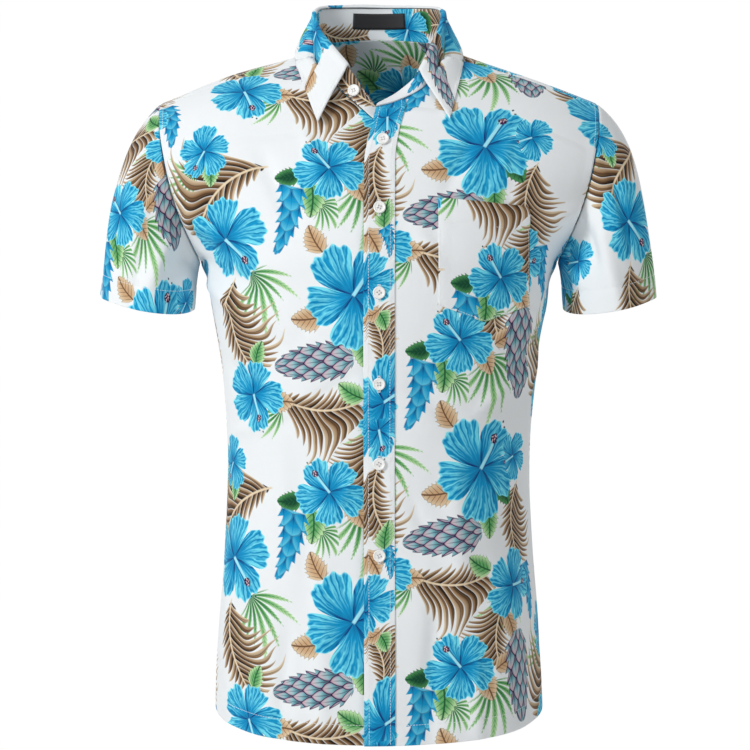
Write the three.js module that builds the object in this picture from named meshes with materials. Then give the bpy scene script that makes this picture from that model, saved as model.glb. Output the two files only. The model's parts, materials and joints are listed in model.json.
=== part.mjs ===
// A short-sleeved shirt in its worn shape with nobody in it, in millimetres.
// +X is the wearer's left, -Y the front and +Z up. The origin lies between the
// shoulders, level with their highest points, where the wearer carries the shirt.
import * as THREE from 'three';

// Cloth thicknesses, and the air that is left at every seam
const PANEL_WALL = 1.2;
const STAND_WALL = 1.8;
const LEAF_WALL = 1.6;
const LABEL_WALL = 1.0;
const SEAM_AIR = 0.3;
const EDGE_PULL = 0.2;
const SEAM_REACH = 12;
const NECK_PULL = 0.5;
const SLEEVE_AIR = 0.5;
const STAND_FOOT_AIR = 0.6;
const LEAF_AIR = 1.0;
const ROLL_RISE = 0.6;
const LAID_SPARE = 0.1;
const BUTTON_AIR = 0.6;

// The left front lies over the right front by this much at the centre line
const FRONT_OVERLAP = 15;
const LEFT_FRONT_LIFT = 3.2;

// The torso by height: centre front and centre back depth, side seam place
// columns: z, front y, back y, side x, side y
const TORSO = [
  [-720, -126, 125, 171, 4],
  [-600, -121, 120, 167, 4],
  [-520, -117, 112, 161, 4],
  [-440, -117, 105, 158, 4],
  [-360, -122, 107, 162, 3],
  [-300, -127, 114, 169, 2],
  [-250, -130, 120, 177, 1],
  [-225, -131, 122, 187, 0],
  [-150, -118, 118, 187, 0],
  [-110, -104, 109, 187, 0],
  [-72, -88, 97, 187, 0],
];
const HEM_CENTRE_Z = -714;
const HEM_SIDE_Z = -684;
const UNDERARM_Z = -225;
const BACK_YOKE_Z = -75;
const UNDERARM_DROP = 5;
const SHOULDER_RISE = 4;
const YOKE_BACK_RISE = 8;

// How full a panel's rows are at each height: 1 is straight, 2 a quarter of an ellipse
const FULLNESS = { hem: 2.5, underarm: 2.35, chest: 1.6, backYoke: 1.7, shoulder: 1.0 };

// How far the right front's top corner sinks below the left front
// columns: z, inward move
const RIGHT_FRONT_SINK = [
  [-160, 0],
  [-120, 3],
  [-99, 6],
];

// The left front's edge, and the placket with it, lean to the wearer's left at the top
// columns: z, placket's inner edge x, placket's outer edge x
const PLACKET_EDGES = [
  [-720, -15, 16],
  [-130, -15, 16],
  [-98, -9, 20],
  [-72, -3, 27],
];
const PLACKET_TOP_Z = -72;
const PLACKET_TOP_GAP = 1.2;
const HEM_SHY = 1;

// Armhole seam of the left side, from the underarm up the front and down the back
// columns: x, y, z
const ARMHOLE = [
  [187, 0, -225],
  [203, -42, -188],
  [213, -56, -158],
  [221, -58, -125],
  [227, -45, -92],
  [229, -18, -66],
  [228, 8, -60],
  [226, 35, -75],
  [220, 52, -110],
  [213, 58, -150],
  [203, 48, -190],
];
const ARMHOLE_CHEST_ROW = 3;
const ARMHOLE_SHOULDER_ROW = 5;
const ARMHOLE_YOKE_ROW = 8;

// The neck, keyed by the share of the way round from centre back, where 1 is the leaf's
// front edge. The back and sides are alike; the two fronts differ, as the top is undone.
// columns: share, neck seam x y z, stand top x y z, leaf edge x y z
const NECK_BACK = [
  [0.00, 0, 52, 14, 0, 47, 46.5, 0, 62, 4],
  [0.18, 38, 44, 11, 36, 40, 45.8, 44, 54, 1],
  [0.36, 62, 24, 5, 60, 21, 42, 74, 32, -1],
  [0.54, 71, -4, -4, 66, -2, 33, 86, 0, -5],
];
const NECK_LEFT_FRONT = [
  [0.65, 70, -20, -12, 64, -15, 22, 87, -18, -14],
  [0.80, 61, -43, -29, 57, -36, 2, 84, -46, -36],
  [1.00, 44, -67, -51, 40, -64, -35, 71, -95, -85],
  [1.20, 18, -82, -66, 20, -67, -55, 71, -95, -85],
  [1.35, -3, -88, -72, -1, -77, -68, 71, -95, -85],
];
const NECK_RIGHT_FRONT = [
  [0.65, 70, -20, -12, 64, -15, 22, 86, -18, -14],
  [0.80, 61, -42, -28, 56, -36, 3, 82, -44, -34],
  [1.00, 43, -65, -49, 31, -68, -30, 62, -92, -88],
  [1.20, 22, -77, -69, 15, -72, -54, 62, -92, -88],
  [1.35, 6, -84, -84, 1, -75, -75, 62, -92, -88],
  [1.50, -12, -91, -99, -11, -80, -91, 62, -92, -88],
];
const NECK_SHOULDER_SHARE = 0.65;
const LEAF_FRONT_SHARE = 1;

// How the leaf falls from its roll to its edge
// columns: share of the way down, bulge out of the straight line
const LEAF_FALL = [
  [0.3, 1.6],
  [0.65, 1.4],
  [1, 0],
];
const LEAF_ROLL_OUT = 3.2;
const LEAF_ON_FRONT_SHARE = 0.68;

// Sleeve: how its columns leave the armhole and reach the opening, at the underarm and on top
// columns: outward, down, how far the cloth keeps that way, and the same at the opening
const SLEEVE_WAYS = {
  underarm: { out: 0.3, down: 0.95, leave: 45, arrive: 50 },
  top: { out: 0.78, down: 0.62, leave: 200, arrive: 200 },
};
const SLEEVE_SPREAD = 0.25;
const SLEEVE_FALL = { out: 0.11, down: 0.99 };
const CUFF = { x: 241.5, y: 0, z: -266, halfWidth: 48.5, halfDepth: 72, outerRise: 9, frontDrop: 13 };

// Patch pocket on the left front
const POCKET = { inner: 59, outer: 152, topInner: -167, topOuter: -174, side: -274, point: -291, slack: 1.6 };

// Buttons: four-hole discs on the placket, and one on the collar stand
const BUTTON = { radius: 6.3, height: 2.4, rim: 1.1, dish: 0.5, round: 0.8, draft: 0.5 };
const BUTTON_HEIGHTS = [-107, -177, -262, -353, -433, -525];
const STAND_BUTTON = { share: 1.13, up: 0.45, shank: 0.9 };

// Neck label on the inside of the stand
const LABEL = { halfWidth: 28.5, low: 25, high: 41.5, air: 0.5, aimY: -20 };

// Soft folds in the cloth, as straight creases seen from the front or the back
// columns: face (-1 front, 1 back), x and z of one end, x and z of the other, half-width, height
const FOLDS = [
  [-1, 200, -200, 158, -240, 15, -3.0],
  [-1, 180, -250, 128, -322, 18, 3.0],
  [-1, -196, -205, -128, -250, 16, -3.5],
  [-1, -178, -252, -132, -330, 18, 3.0],
  [-1, 146, -360, 126, -520, 17, -3.0],
  [-1, -142, -350, -128, -505, 17, -3.0],
  [-1, 118, -560, 128, -714, 20, 3.0],
  [-1, -112, -570, -124, -714, 20, 3.0],
  [1, 60, -180, 78, -420, 24, -4.0],
  [1, -66, -190, -72, -440, 24, -4.0],
  [1, 118, -330, 104, -640, 22, 3.5],
  [1, -112, -350, -120, -620, 22, 3.5],
  [1, 6, -430, -8, -714, 24, -3.0],
];
const FOLD_REACH = 2.5;
const FOLD_EDGE = 0.14;

// Mesh sizes: how many steps each panel is drawn with
const STEPS = {
  frontAcross: 16,
  frontBands: [15, 7, 6],
  backAcross: 26,
  backBands: [15, 6],
  yokeAcross: 40,
  yokeOut: 8,
  sleeveRound: 30,
  sleeveDown: 9,
  neckRound: 40,
  leafRound: 36,
  standUp: 2,
  placketAcross: 2,
  placketDown: 34,
  pocketAcross: 8,
  pocketDown: 7,
  labelAcross: 6,
  buttonRound: 16,
};
const ROW_SAMPLES = 64;
const FINER = 3;
const SEARCH_STEP = 0.002;
const SHARE_STEP = 0.02;

// Colours of the cloth and its trims, plain where the print shows
const COLOURS = {
  rightFront: 0xe9eef0,
  leftFront: 0xe4eaec,
  placket: 0x9fc9d8,
  back: 0xe6ebed,
  yoke: 0xdfe6e4,
  stand: 0x8fc3d8,
  leaf: 0xeef1f1,
  sleeve: 0xd9e3e2,
  pocket: 0xdbe8ec,
  button: 0xf4f4f0,
  label: 0x141416,
};

const { sin, cos, min, max, abs, hypot, PI } = Math;
const point = (x, y, z) => new THREE.Vector3(x, y, z);
const mirrored = (p) => point(-p.x, p.y, p.z);
const mix = (a, b, s) => a + (b - a) * s;

// Out of the cloth on a left shoulder and on the back of the yoke
const SHOULDER_UP = point(0.3, 0, 0.95);
const YOKE_BACK_UP = point(0, 0.85, 0.5);

function smoothstep(from, to, value) {
  const s = min(max((value - from) / (to - from), 0), 1);
  return s * s * (3 - 2 * s);
}

// Reads a keyed table as one smooth curve: gives every column after the key
function read(rows, key) {
  const last = rows.length - 1;
  let i = 0;
  while (i < last - 1 && key > rows[i + 1][0]) i += 1;
  const span = rows[i + 1][0] - rows[i][0];
  const s = min(max((key - rows[i][0]) / span, 0), 1);
  const slope = (k, column) => {
    const before = rows[max(k - 1, 0)];
    const after = rows[min(k + 1, last)];
    return (after[column] - before[column]) / (after[0] - before[0]);
  };
  const value = (column) => {
    const a = rows[i][column];
    const b = rows[i + 1][column];
    const turnA = slope(i, column) * span;
    const turnB = slope(i + 1, column) * span;
    return (2 * s ** 3 - 3 * s ** 2 + 1) * a + (s ** 3 - 2 * s ** 2 + s) * turnA
      + (3 * s ** 2 - 2 * s ** 3) * b + (s ** 3 - s ** 2) * turnB;
  };
  return rows[0].slice(1).map((unused, k) => value(k + 1));
}

// A closed ring of points, keyed by length, that can be read past its ends
function ringTable(rows) {
  const closed = [...rows, rows[0]];
  const keys = [0];
  for (let k = 1; k < closed.length; k += 1) {
    const [a, b] = [closed[k - 1], closed[k]];
    keys.push(keys[k - 1] + hypot(b[0] - a[0], b[1] - a[1], b[2] - a[2]));
  }
  const whole = keys[keys.length - 1];
  const keyed = closed.map((row, k) => [keys[k] / whole, ...row]);
  const before = keyed.slice(0, -1).map(([key, ...xyz]) => [key - 1, ...xyz]);
  const after = keyed.slice(1).map(([key, ...xyz]) => [key + 1, ...xyz]);
  return { rows: [...before, ...keyed, ...after], shares: keyed.map((row) => row[0]) };
}

const armholeRing = ringTable(ARMHOLE);
const armhole = (share) => point(...read(armholeRing.rows, share));
const armholeShare = (row) => armholeRing.shares[row];

const torsoAt = (z) => {
  const [front, back, sideX, sideY] = read(TORSO, z);
  return { front, back, sideX, sideY };
};

// Neck lines of one side: side is 1 for the wearer's left and -1 for the right
function neckLines(side, share) {
  const front = side > 0 ? NECK_LEFT_FRONT : NECK_RIGHT_FRONT;
  const [sx, sy, sz, tx, ty, tz, lx, ly, lz] = read(mirrorStart([...NECK_BACK, ...front]), share);
  return {
    seam: point(side * sx, sy, sz),
    top: point(side * tx, ty, tz),
    leaf: point(side * lx, ly, lz),
  };
}

// Lets the neck table run smoothly across centre back
function mirrorStart(rows) {
  const flipped = [-1, -1, 1, 1, -1, 1, 1, -1, 1, 1];
  return [rows[1].map((value, k) => value * flipped[k]), ...rows];
}

// One row of a panel from its centre edge to its outer edge. roundness is 1 for a straight
// line, 2 for a quarter of an ellipse and more for a fuller, squarer side.
function girthRow(centre, outer, roundness) {
  const points = [];
  for (let k = 0; k <= ROW_SAMPLES; k += 1) {
    const angle = (k / ROW_SAMPLES) ** (roundness / 2) * PI / 2;
    const along = sin(angle) ** (2 / roundness);
    const back = 1 - max(cos(angle), 0) ** (2 / roundness);
    points.push(point(
      centre.x + (outer.x - centre.x) * along,
      centre.y + (outer.y - centre.y) * back,
      centre.z + (outer.z - centre.z) * back,
    ));
  }
  return points;
}

// Picks steps + 1 points at equal distances along a line of points
function evenly(points, steps) {
  const lengths = [0];
  for (let k = 1; k < points.length; k += 1) {
    lengths.push(lengths[k - 1] + points[k].distanceTo(points[k - 1]));
  }
  const whole = lengths[lengths.length - 1];
  const picked = [];
  let k = 1;
  for (let step = 0; step <= steps; step += 1) {
    const wanted = whole * step / steps;
    while (k < points.length - 1 && lengths[k] < wanted) k += 1;
    const share = (wanted - lengths[k - 1]) / (lengths[k] - lengths[k - 1]);
    picked.push(points[k - 1].clone().lerp(points[k], share));
  }
  return picked;
}

// How far the folds lift the cloth at a place on the front or the back
function foldHeight(face, x, z) {
  let height = 0;
  for (const [foldFace, x0, z0, x1, z1, halfWidth, rise] of FOLDS) {
    if (foldFace !== face) continue;
    const length = hypot(x1 - x0, z1 - z0);
    const along = ((x - x0) * (x1 - x0) + (z - z0) * (z1 - z0)) / length ** 2;
    const aside = ((x - x0) * (z1 - z0) - (z - z0) * (x1 - x0)) / length;
    if (abs(aside) > FOLD_REACH * halfWidth) continue;
    const ends = smoothstep(-0.25, 0.3, along) * (1 - smoothstep(0.7, 1.25, along));
    height += rise * ends * Math.exp(-((aside / halfWidth) ** 2));
  }
  return height;
}

// Moves a row in or out by the folds, square to the torso's round form
function folded(row, face, pinned) {
  return row.map((p, k) => {
    const fromEdge = min(k, row.length - 1 - k) / (row.length - 1);
    const away = point(p.x * 0.5, p.y, 0).normalize();
    const held = pinned ? smoothstep(0, FOLD_EDGE, fromEdge) : 1;
    return p.clone().addScaledVector(away, foldHeight(face, p.x, p.z) * held);
  });
}

// The border rows of a panel's bands: band + part is the place from hem to shoulder
function bandPlaces(steps) {
  const places = [];
  steps.forEach((count, band) => {
    for (let k = 0; k < count; k += 1) places.push(band + k / count);
  });
  return [...places, steps.length];
}

// One front, as rows from its centre edge to its side seam and armhole
function frontRow(side, place) {
  const band = min(Math.floor(place), 2);
  const part = place - band;
  const neckEnd = side > 0 ? NECK_LEFT_FRONT : NECK_RIGHT_FRONT;
  const cornerShare = neckEnd[neckEnd.length - 1][0];
  const cornerZ = neckEnd[neckEnd.length - 1][3];
  const centre = (z) => {
    const edge = side > 0 ? read(PLACKET_EDGES, z)[0] : FRONT_OVERLAP;
    const sink = z > RIGHT_FRONT_SINK[0][0] ? read(RIGHT_FRONT_SINK, z)[0] : 0;
    const depth = torsoAt(z).front + (side > 0 ? -LEFT_FRONT_LIFT : sink);
    return point(edge, depth, z);
  };
  const outer = (p) => point(side * p.x, p.y, p.z);
  if (band === 0) {
    const sideZ = mix(HEM_SIDE_Z, UNDERARM_Z, part);
    const level = torsoAt(sideZ);
    const start = centre(mix(HEM_CENTRE_Z, UNDERARM_Z - UNDERARM_DROP, part));
    const end = outer(point(level.sideX, level.sideY, sideZ));
    return girthRow(start, end, mix(FULLNESS.hem, FULLNESS.underarm, part));
  }
  if (band === 1) {
    const start = centre(mix(UNDERARM_Z - UNDERARM_DROP, cornerZ, part));
    const end = armhole(part * armholeShare(ARMHOLE_CHEST_ROW));
    return girthRow(start, outer(end), mix(FULLNESS.underarm, FULLNESS.chest, part));
  }
  const neck = neckLines(side, mix(cornerShare, NECK_SHOULDER_SHARE, part)).seam;
  if (part === 0) neck.copy(centre(cornerZ));
  const end = armhole(mix(armholeShare(ARMHOLE_CHEST_ROW), armholeShare(ARMHOLE_SHOULDER_ROW), part));
  const corner = outer(end);
  return girthRow(neck, corner, mix(FULLNESS.chest, FULLNESS.shoulder, part)).map((p) => {
    const s = p.distanceTo(neck) / corner.distanceTo(neck);
    return p.addScaledVector(outer(SHOULDER_UP), SHOULDER_RISE * part * 4 * s * (1 - s));
  });
}

function frontGrid(side, finer = 1) {
  const places = bandPlaces(STEPS.frontBands.map((count) => count * finer));
  return places.map((place) => {
    const row = folded(frontRow(side, place), -1, place > 1);
    return evenly(row, STEPS.frontAcross * finer);
  });
}

// The back, as rows from side to side, hem to yoke seam
function backHalfRow(place) {
  const band = min(Math.floor(place), 1);
  const part = place - band;
  if (band === 0) {
    const sideZ = mix(HEM_SIDE_Z, UNDERARM_Z, part);
    const level = torsoAt(sideZ);
    const z = mix(HEM_CENTRE_Z, UNDERARM_Z, part);
    const end = point(level.sideX, level.sideY, sideZ);
    return girthRow(point(0, torsoAt(z).back, z), end, mix(FULLNESS.hem, FULLNESS.underarm, part));
  }
  const z = mix(UNDERARM_Z, BACK_YOKE_Z, part);
  const end = armhole(mix(1, armholeShare(ARMHOLE_YOKE_ROW), part));
  return girthRow(point(0, torsoAt(z).back, z), end, mix(FULLNESS.underarm, FULLNESS.backYoke, part));
}

function wholeRow(half) {
  return [...half.map(mirrored).reverse(), ...half.slice(1)];
}

function backGrid() {
  return bandPlaces(STEPS.backBands).map((place) => {
    const row = wholeRow(backHalfRow(place));
    const held = place === STEPS.backBands.length;
    return evenly(held ? row : folded(row, 1, place > 1), STEPS.backAcross);
  });
}

// The yoke's outer line: over the shoulder along the armhole, then along the back seam
function yokeOuterLine(steps) {
  const corner = armholeShare(ARMHOLE_YOKE_ROW);
  const shoulder = armholeShare(ARMHOLE_SHOULDER_ROW);
  const seamSteps = STEPS.backAcross / 2;
  const cornerStep = steps - seamSteps;
  const seam = evenly(backHalfRow(STEPS.backBands.length), seamSteps);
  const line = [];
  for (let k = 0; k <= cornerStep; k += 1) line.push(armhole(mix(shoulder, corner, k / cornerStep)));
  return [...line, ...seam.reverse().slice(1)];
}

// The yoke, as columns that run from the neck seam out to its outer line
function yokeGrid() {
  const half = STEPS.yokeAcross / 2;
  const outerLine = yokeOuterLine(half);
  const columns = outerLine.map((outer, k) => {
    const share = mix(NECK_SHOULDER_SHARE, 0, k / half);
    const neck = neckLines(1, share).seam;
    const atBack = smoothstep(0.25, 1, k / half);
    const rise = mix(SHOULDER_RISE, YOKE_BACK_RISE, atBack);
    const lift = SHOULDER_UP.clone().lerp(YOKE_BACK_UP, atBack);
    const column = [];
    for (let j = 0; j <= ROW_SAMPLES; j += 1) {
      const s = j / ROW_SAMPLES;
      column.push(neck.clone().lerp(outer, s).addScaledVector(lift, rise * 4 * s * (1 - s)));
    }
    return evenly(column, STEPS.yokeOut);
  });
  const right = columns.slice(0, -1).map((column) => column.map(mirrored));
  return [...right, ...columns.reverse()];
}

// A sleeve, as rings from the armhole to the cuff
function sleeveColumn(share, steps) {
  const start = armhole(share);
  const height = (start.z - UNDERARM_Z) / (ARMHOLE[ARMHOLE_SHOULDER_ROW + 1][2] - UNDERARM_Z);
  const angle = 2 * PI * share;
  const round = point(-cos(angle), -sin(angle), 0);
  const end = point(
    CUFF.x + CUFF.halfWidth * round.x,
    CUFF.y + CUFF.halfDepth * round.y,
    CUFF.z + CUFF.outerRise * round.x + CUFF.frontDrop * round.y,
  );
  const way = (name) => mix(SLEEVE_WAYS.underarm[name], SLEEVE_WAYS.top[name], height);
  const spread = SLEEVE_SPREAD * sin(PI * height) * Math.sign(start.y);
  const leave = point(way('out'), spread, -way('down')).normalize().multiplyScalar(way('leave'));
  const arrive = point(SLEEVE_FALL.out, 0, -SLEEVE_FALL.down).multiplyScalar(way('arrive'));
  const column = [];
  for (let k = 0; k <= steps; k += 1) {
    const s = k / steps;
    column.push(start.clone().multiplyScalar(2 * s ** 3 - 3 * s ** 2 + 1)
      .addScaledVector(leave, s ** 3 - 2 * s ** 2 + s)
      .addScaledVector(end, 3 * s ** 2 - 2 * s ** 3)
      .addScaledVector(arrive, s ** 3 - s ** 2));
  }
  return column;
}

function sleeveGrid(side) {
  const columns = [];
  for (let k = 0; k < STEPS.sleeveRound; k += 1) {
    const column = evenly(sleeveColumn(k / STEPS.sleeveRound, ROW_SAMPLES), STEPS.sleeveDown);
    columns.push(side > 0 ? column : column.map(mirrored));
  }
  return columns[0].map((unused, row) => columns.map((column) => column[row]));
}

// The ring of neck shares from the right front end round the back to the left front end
function neckShares(rightEnd, leftEnd, steps) {
  const places = [];
  for (let k = 0; k <= steps; k += 1) places.push(mix(-rightEnd, leftEnd, k / steps));
  return places;
}

const neckAt = (place) => neckLines(place < 0 ? -1 : 1, abs(place));

function standGrid() {
  const rightEnd = NECK_RIGHT_FRONT[NECK_RIGHT_FRONT.length - 1][0];
  const leftEnd = NECK_LEFT_FRONT[NECK_LEFT_FRONT.length - 1][0];
  return neckShares(rightEnd, leftEnd, STEPS.neckRound).map((place) => {
    const { seam, top } = neckAt(place);
    const foot = seam.clone().add(point(0, 0, STAND_FOOT_AIR));
    const column = [];
    for (let k = 0; k <= STEPS.standUp; k += 1) column.push(foot.clone().lerp(top, k / STEPS.standUp));
    return column;
  });
}

// The stand's own directions at a place: up the stand, and out of its outer face
function standFrame(place) {
  const { seam, top, leaf } = neckAt(place);
  const along = neckAt(place + SHARE_STEP).seam.sub(neckAt(place - SHARE_STEP).seam);
  const up = top.clone().sub(seam).normalize();
  const out = up.clone().cross(along).normalize();
  return { seam, top, leaf, up, out };
}

// Keeps a point of the collar clear of the front that it lies over
function clearOf(panel, p) {
  const laid = layOn(panel, p.x, p.z, LEAF_AIR);
  return p.y > laid.y ? laid : p;
}

// The leaf rolls over the stand's top and falls outside it to the leaf's edge
function leafGrid(fronts) {
  return neckShares(LEAF_FRONT_SHARE, LEAF_FRONT_SHARE, STEPS.leafRound).map((place) => {
    const { top, leaf, up, out } = standFrame(place);
    const onTop = top.clone().addScaledVector(up, SEAM_AIR + ROLL_RISE);
    const roll = top.clone().addScaledVector(out, LEAF_ROLL_OUT).addScaledVector(up, ROLL_RISE);
    const fall = LEAF_FALL.map(([s, bulge]) => roll.clone().lerp(leaf, s).addScaledVector(out, bulge));
    const column = [onTop, roll, ...fall];
    if (abs(place) < LEAF_ON_FRONT_SHARE) return column;
    return column.map((p, k) => (k < 2 ? p : clearOf(place < 0 ? fronts.right : fronts.left, p)));
  });
}

// Pulls the edges of a grid in along the cloth by the distances given, the start edge only
// from a given row on
function pulledIn(grid, distances, startFrom = 0) {
  const rows = grid.map((row) => row.map((p) => p.clone()));
  const last = rows.length - 1;
  const lastColumn = rows[0].length - 1;
  const pull = (p, inner, edge) => p.addScaledVector(inner.clone().sub(p).normalize(), distances[edge] ?? 0);
  rows[0].forEach((p, k) => pull(p, grid[1][k], 'first'));
  rows[last].forEach((p, k) => pull(p, grid[last - 1][k], 'last'));
  rows.slice(startFrom).forEach((row, j) => pull(row[0], grid[startFrom + j][1], 'start'));
  rows.forEach((row, j) => pull(row[lastColumn], grid[j][lastColumn - 1], 'end'));
  return rows;
}

// Slope of the cloth along a line of points, true to second order at the ends too
function slopeAlong(points, k, closed) {
  const last = points.length - 1;
  const at = (i) => points[(i + points.length) % points.length];
  if (last === 1) return points[1].clone().sub(points[0]);
  if (closed || (k > 0 && k < last)) return at(k + 1).clone().sub(at(k - 1));
  const towards = k === 0 ? 1 : -1;
  const slope = points[k].clone().multiplyScalar(-3);
  slope.addScaledVector(points[k + towards], 4).sub(points[k + 2 * towards]);
  return slope.multiplyScalar(towards);
}

function normals(grid, closed, centre) {
  let facing = 0;
  const found = grid.map((row, j) => row.map((p, k) => {
    const across = slopeAlong(row, k, closed);
    const column = grid.map((other) => other[k]);
    const normal = across.cross(slopeAlong(column, j, false)).normalize();
    facing += normal.dot(p.clone().sub(centre));
    return normal;
  }));
  const turn = Math.sign(facing);
  return found.map((row) => row.map((normal) => normal.multiplyScalar(turn)));
}

// Where two panels meet, both walls are cut to one slant, so that their inner edges don't cross
function meetAtSeams(panels) {
  const rims = panels.flatMap((panel, owner) => panel.grid.flatMap((row, j) => row
    .map((p, k) => ({ owner, p, away: panel.away[j][k], j, k }))
    .filter(({ k }) => j === 0 || j === panel.grid.length - 1 || k === 0 || k === row.length - 1)));
  const shared = rims.map((rim) => rims.filter((other) => other.p.distanceTo(rim.p) < SEAM_REACH)
    .reduce((sum, other) => sum.add(other.away), point(0, 0, 0)).normalize());
  rims.forEach((rim, k) => rim.away.copy(shared[k]));
}

// A closed wall of cloth on a grid of points. It reaches from `below` to `above` the grid,
// measured outward from the given centre or along the directions given for its points.
function wall(grid, { below, above, closed = false, centre, away = normals(grid, closed, centre) }) {
  const skin = (distance) => grid.map((row, j) => row
    .map((p, k) => p.clone().addScaledVector(away[j][k], distance)));
  return shell(skin(above), skin(-below), closed);
}

// Joins two skins of equal size into one closed body
function shell(outside, inside, closed) {
  const rows = outside.length;
  const columns = outside[0].length;
  const positions = [...outside.flat(), ...inside.flat()].flatMap((p) => [p.x, p.y, p.z]);
  const faces = [];
  const outer = (j, k) => j * columns + (k % columns);
  const inner = (j, k) => rows * columns + outer(j, k);
  const quad = (a, b, c, d) => faces.push(a, b, c, a, c, d);
  const across = closed ? columns : columns - 1;
  for (let j = 0; j < rows - 1; j += 1) {
    for (let k = 0; k < across; k += 1) {
      quad(outer(j, k), outer(j, k + 1), outer(j + 1, k + 1), outer(j + 1, k));
      quad(inner(j, k), inner(j + 1, k), inner(j + 1, k + 1), inner(j, k + 1));
    }
  }
  for (let k = 0; k < across; k += 1) {
    quad(outer(0, k), inner(0, k), inner(0, k + 1), outer(0, k + 1));
    quad(outer(rows - 1, k), outer(rows - 1, k + 1), inner(rows - 1, k + 1), inner(rows - 1, k));
  }
  for (let j = 0; !closed && j < rows - 1; j += 1) {
    quad(outer(j, 0), outer(j + 1, 0), inner(j + 1, 0), inner(j, 0));
    quad(outer(j, columns - 1), inner(j, columns - 1), inner(j + 1, columns - 1), outer(j + 1, columns - 1));
  }
  return facingOut(positions, faces);
}

// Builds the geometry with its faces pointing out
function facingOut(positions, faces) {
  let volume = 0;
  const at = (k) => point(positions[3 * k], positions[3 * k + 1], positions[3 * k + 2]);
  for (let k = 0; k < faces.length; k += 3) {
    volume += at(faces[k]).dot(at(faces[k + 1]).cross(at(faces[k + 2])));
  }
  if (volume < 0) faces.reverse();
  const geometry = new THREE.BufferGeometry();
  geometry.setAttribute('position', new THREE.Float32BufferAttribute(positions, 3));
  geometry.setIndex(faces);
  geometry.computeVertexNormals();
  return geometry;
}

// Finds the place on a panel's outer skin straight behind a spot seen from the front. A spot
// just past the panel's edge takes the nearest facet, carried on.
function dropOn(grid, away, x, z) {
  let best = { inside: -Infinity };
  for (let j = 0; j < grid.length - 1; j += 1) {
    for (let k = 0; k < grid[0].length - 1; k += 1) {
      for (const corners of [[[j, k], [j, k + 1], [j + 1, k + 1]], [[j, k], [j + 1, k + 1], [j + 1, k]]]) {
        const [a, b, c] = corners.map(([row, column]) => grid[row][column]);
        const whole = (b.x - a.x) * (c.z - a.z) - (c.x - a.x) * (b.z - a.z);
        const toB = ((x - a.x) * (c.z - a.z) - (c.x - a.x) * (z - a.z)) / whole;
        const toC = ((b.x - a.x) * (z - a.z) - (x - a.x) * (b.z - a.z)) / whole;
        const inside = min(toB, toC, 1 - toB - toC);
        if (inside > best.inside) best = { inside, corners, shares: [1 - toB - toC, toB, toC] };
      }
    }
  }
  const blend = (source) => best.corners.reduce(
    (sum, [row, column], i) => sum.addScaledVector(source[row][column], best.shares[i]),
    point(0, 0, 0),
  );
  return { at: blend(grid), normal: blend(away).normalize() };
}

const torsoCentre = point(0, 0, -300);
const yokeCentre = point(0, 0, -200);
const neckCentre = point(0, -15, -40);

function layOn(panel, x, z, lift) {
  const { at, normal } = dropOn(panel.grid, panel.away, x, z);
  return at.addScaledVector(normal, lift);
}

// Lifts the points of a laid piece until its flat facets clear the facets of the panel
function cleared(grid, panel) {
  const lifts = grid.map((row) => row.map(() => 0));
  const samples = [0, 0.25, 0.5, 0.75, 1];
  for (let j = 0; j < grid.length - 1; j += 1) {
    for (let k = 0; k < grid[0].length - 1; k += 1) {
      let short = 0;
      for (const s of samples) {
        for (const t of samples) {
          const near = grid[j][k].clone().lerp(grid[j][k + 1], s);
          const spot = near.lerp(grid[j + 1][k].clone().lerp(grid[j + 1][k + 1], s), t);
          const { at, normal } = dropOn(panel.grid, panel.away, spot.x, spot.z);
          short = max(short, SEAM_AIR + LAID_SPARE - spot.sub(at).dot(normal));
        }
      }
      for (const [row, column] of [[j, k], [j, k + 1], [j + 1, k], [j + 1, k + 1]]) {
        lifts[row][column] = max(lifts[row][column], short);
      }
    }
  }
  const away = normals(grid, false, torsoCentre);
  return grid.map((row, j) => row.map((p, k) => p.clone().addScaledVector(away[j][k], lifts[j][k])));
}

// The placket strip lies on the left front from the hem to the neck seam
function placketGrid(leftFront) {
  const [innerTop] = read(PLACKET_EDGES, PLACKET_TOP_Z);
  const neckTop = (x) => {
    let share = LEAF_FRONT_SHARE;
    while (neckLines(1, share).seam.x > max(x, innerTop)) share += SEARCH_STEP;
    return neckLines(1, share).seam.z - PLACKET_TOP_GAP;
  };
  const grid = [];
  for (let j = 0; j <= STEPS.placketDown; j += 1) {
    const row = [];
    for (let k = 0; k <= STEPS.placketAcross; k += 1) {
      const across = k / STEPS.placketAcross;
      const edgeAt = (z) => mix(...read(PLACKET_EDGES, z), across);
      const top = neckTop(edgeAt(PLACKET_TOP_Z) + PLACKET_TOP_GAP * (1 - across));
      const z = mix(top, HEM_CENTRE_Z + HEM_SHY, j / STEPS.placketDown);
      const shy = EDGE_PULL * (1 - across);
      row.push(layOn(leftFront, edgeAt(z) + shy, z, SEAM_AIR));
    }
    grid.push(row);
  }
  return grid;
}

function pocketGrid(leftFront) {
  const grid = [];
  for (let j = 0; j <= STEPS.pocketDown; j += 1) {
    const row = [];
    for (let k = 0; k <= STEPS.pocketAcross; k += 1) {
      const across = k / STEPS.pocketAcross;
      const down = j / STEPS.pocketDown;
      const top = mix(POCKET.topInner, POCKET.topOuter, across);
      const bottom = mix(POCKET.side, POCKET.point, 1 - abs(2 * across - 1));
      const slack = POCKET.slack * sin(PI * across) * (1 - down) ** 2;
      const x = mix(POCKET.inner, POCKET.outer, across);
      row.push(layOn(leftFront, x, mix(top, bottom, down), SEAM_AIR + slack));
    }
    grid.push(row);
  }
  return grid;
}

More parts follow.
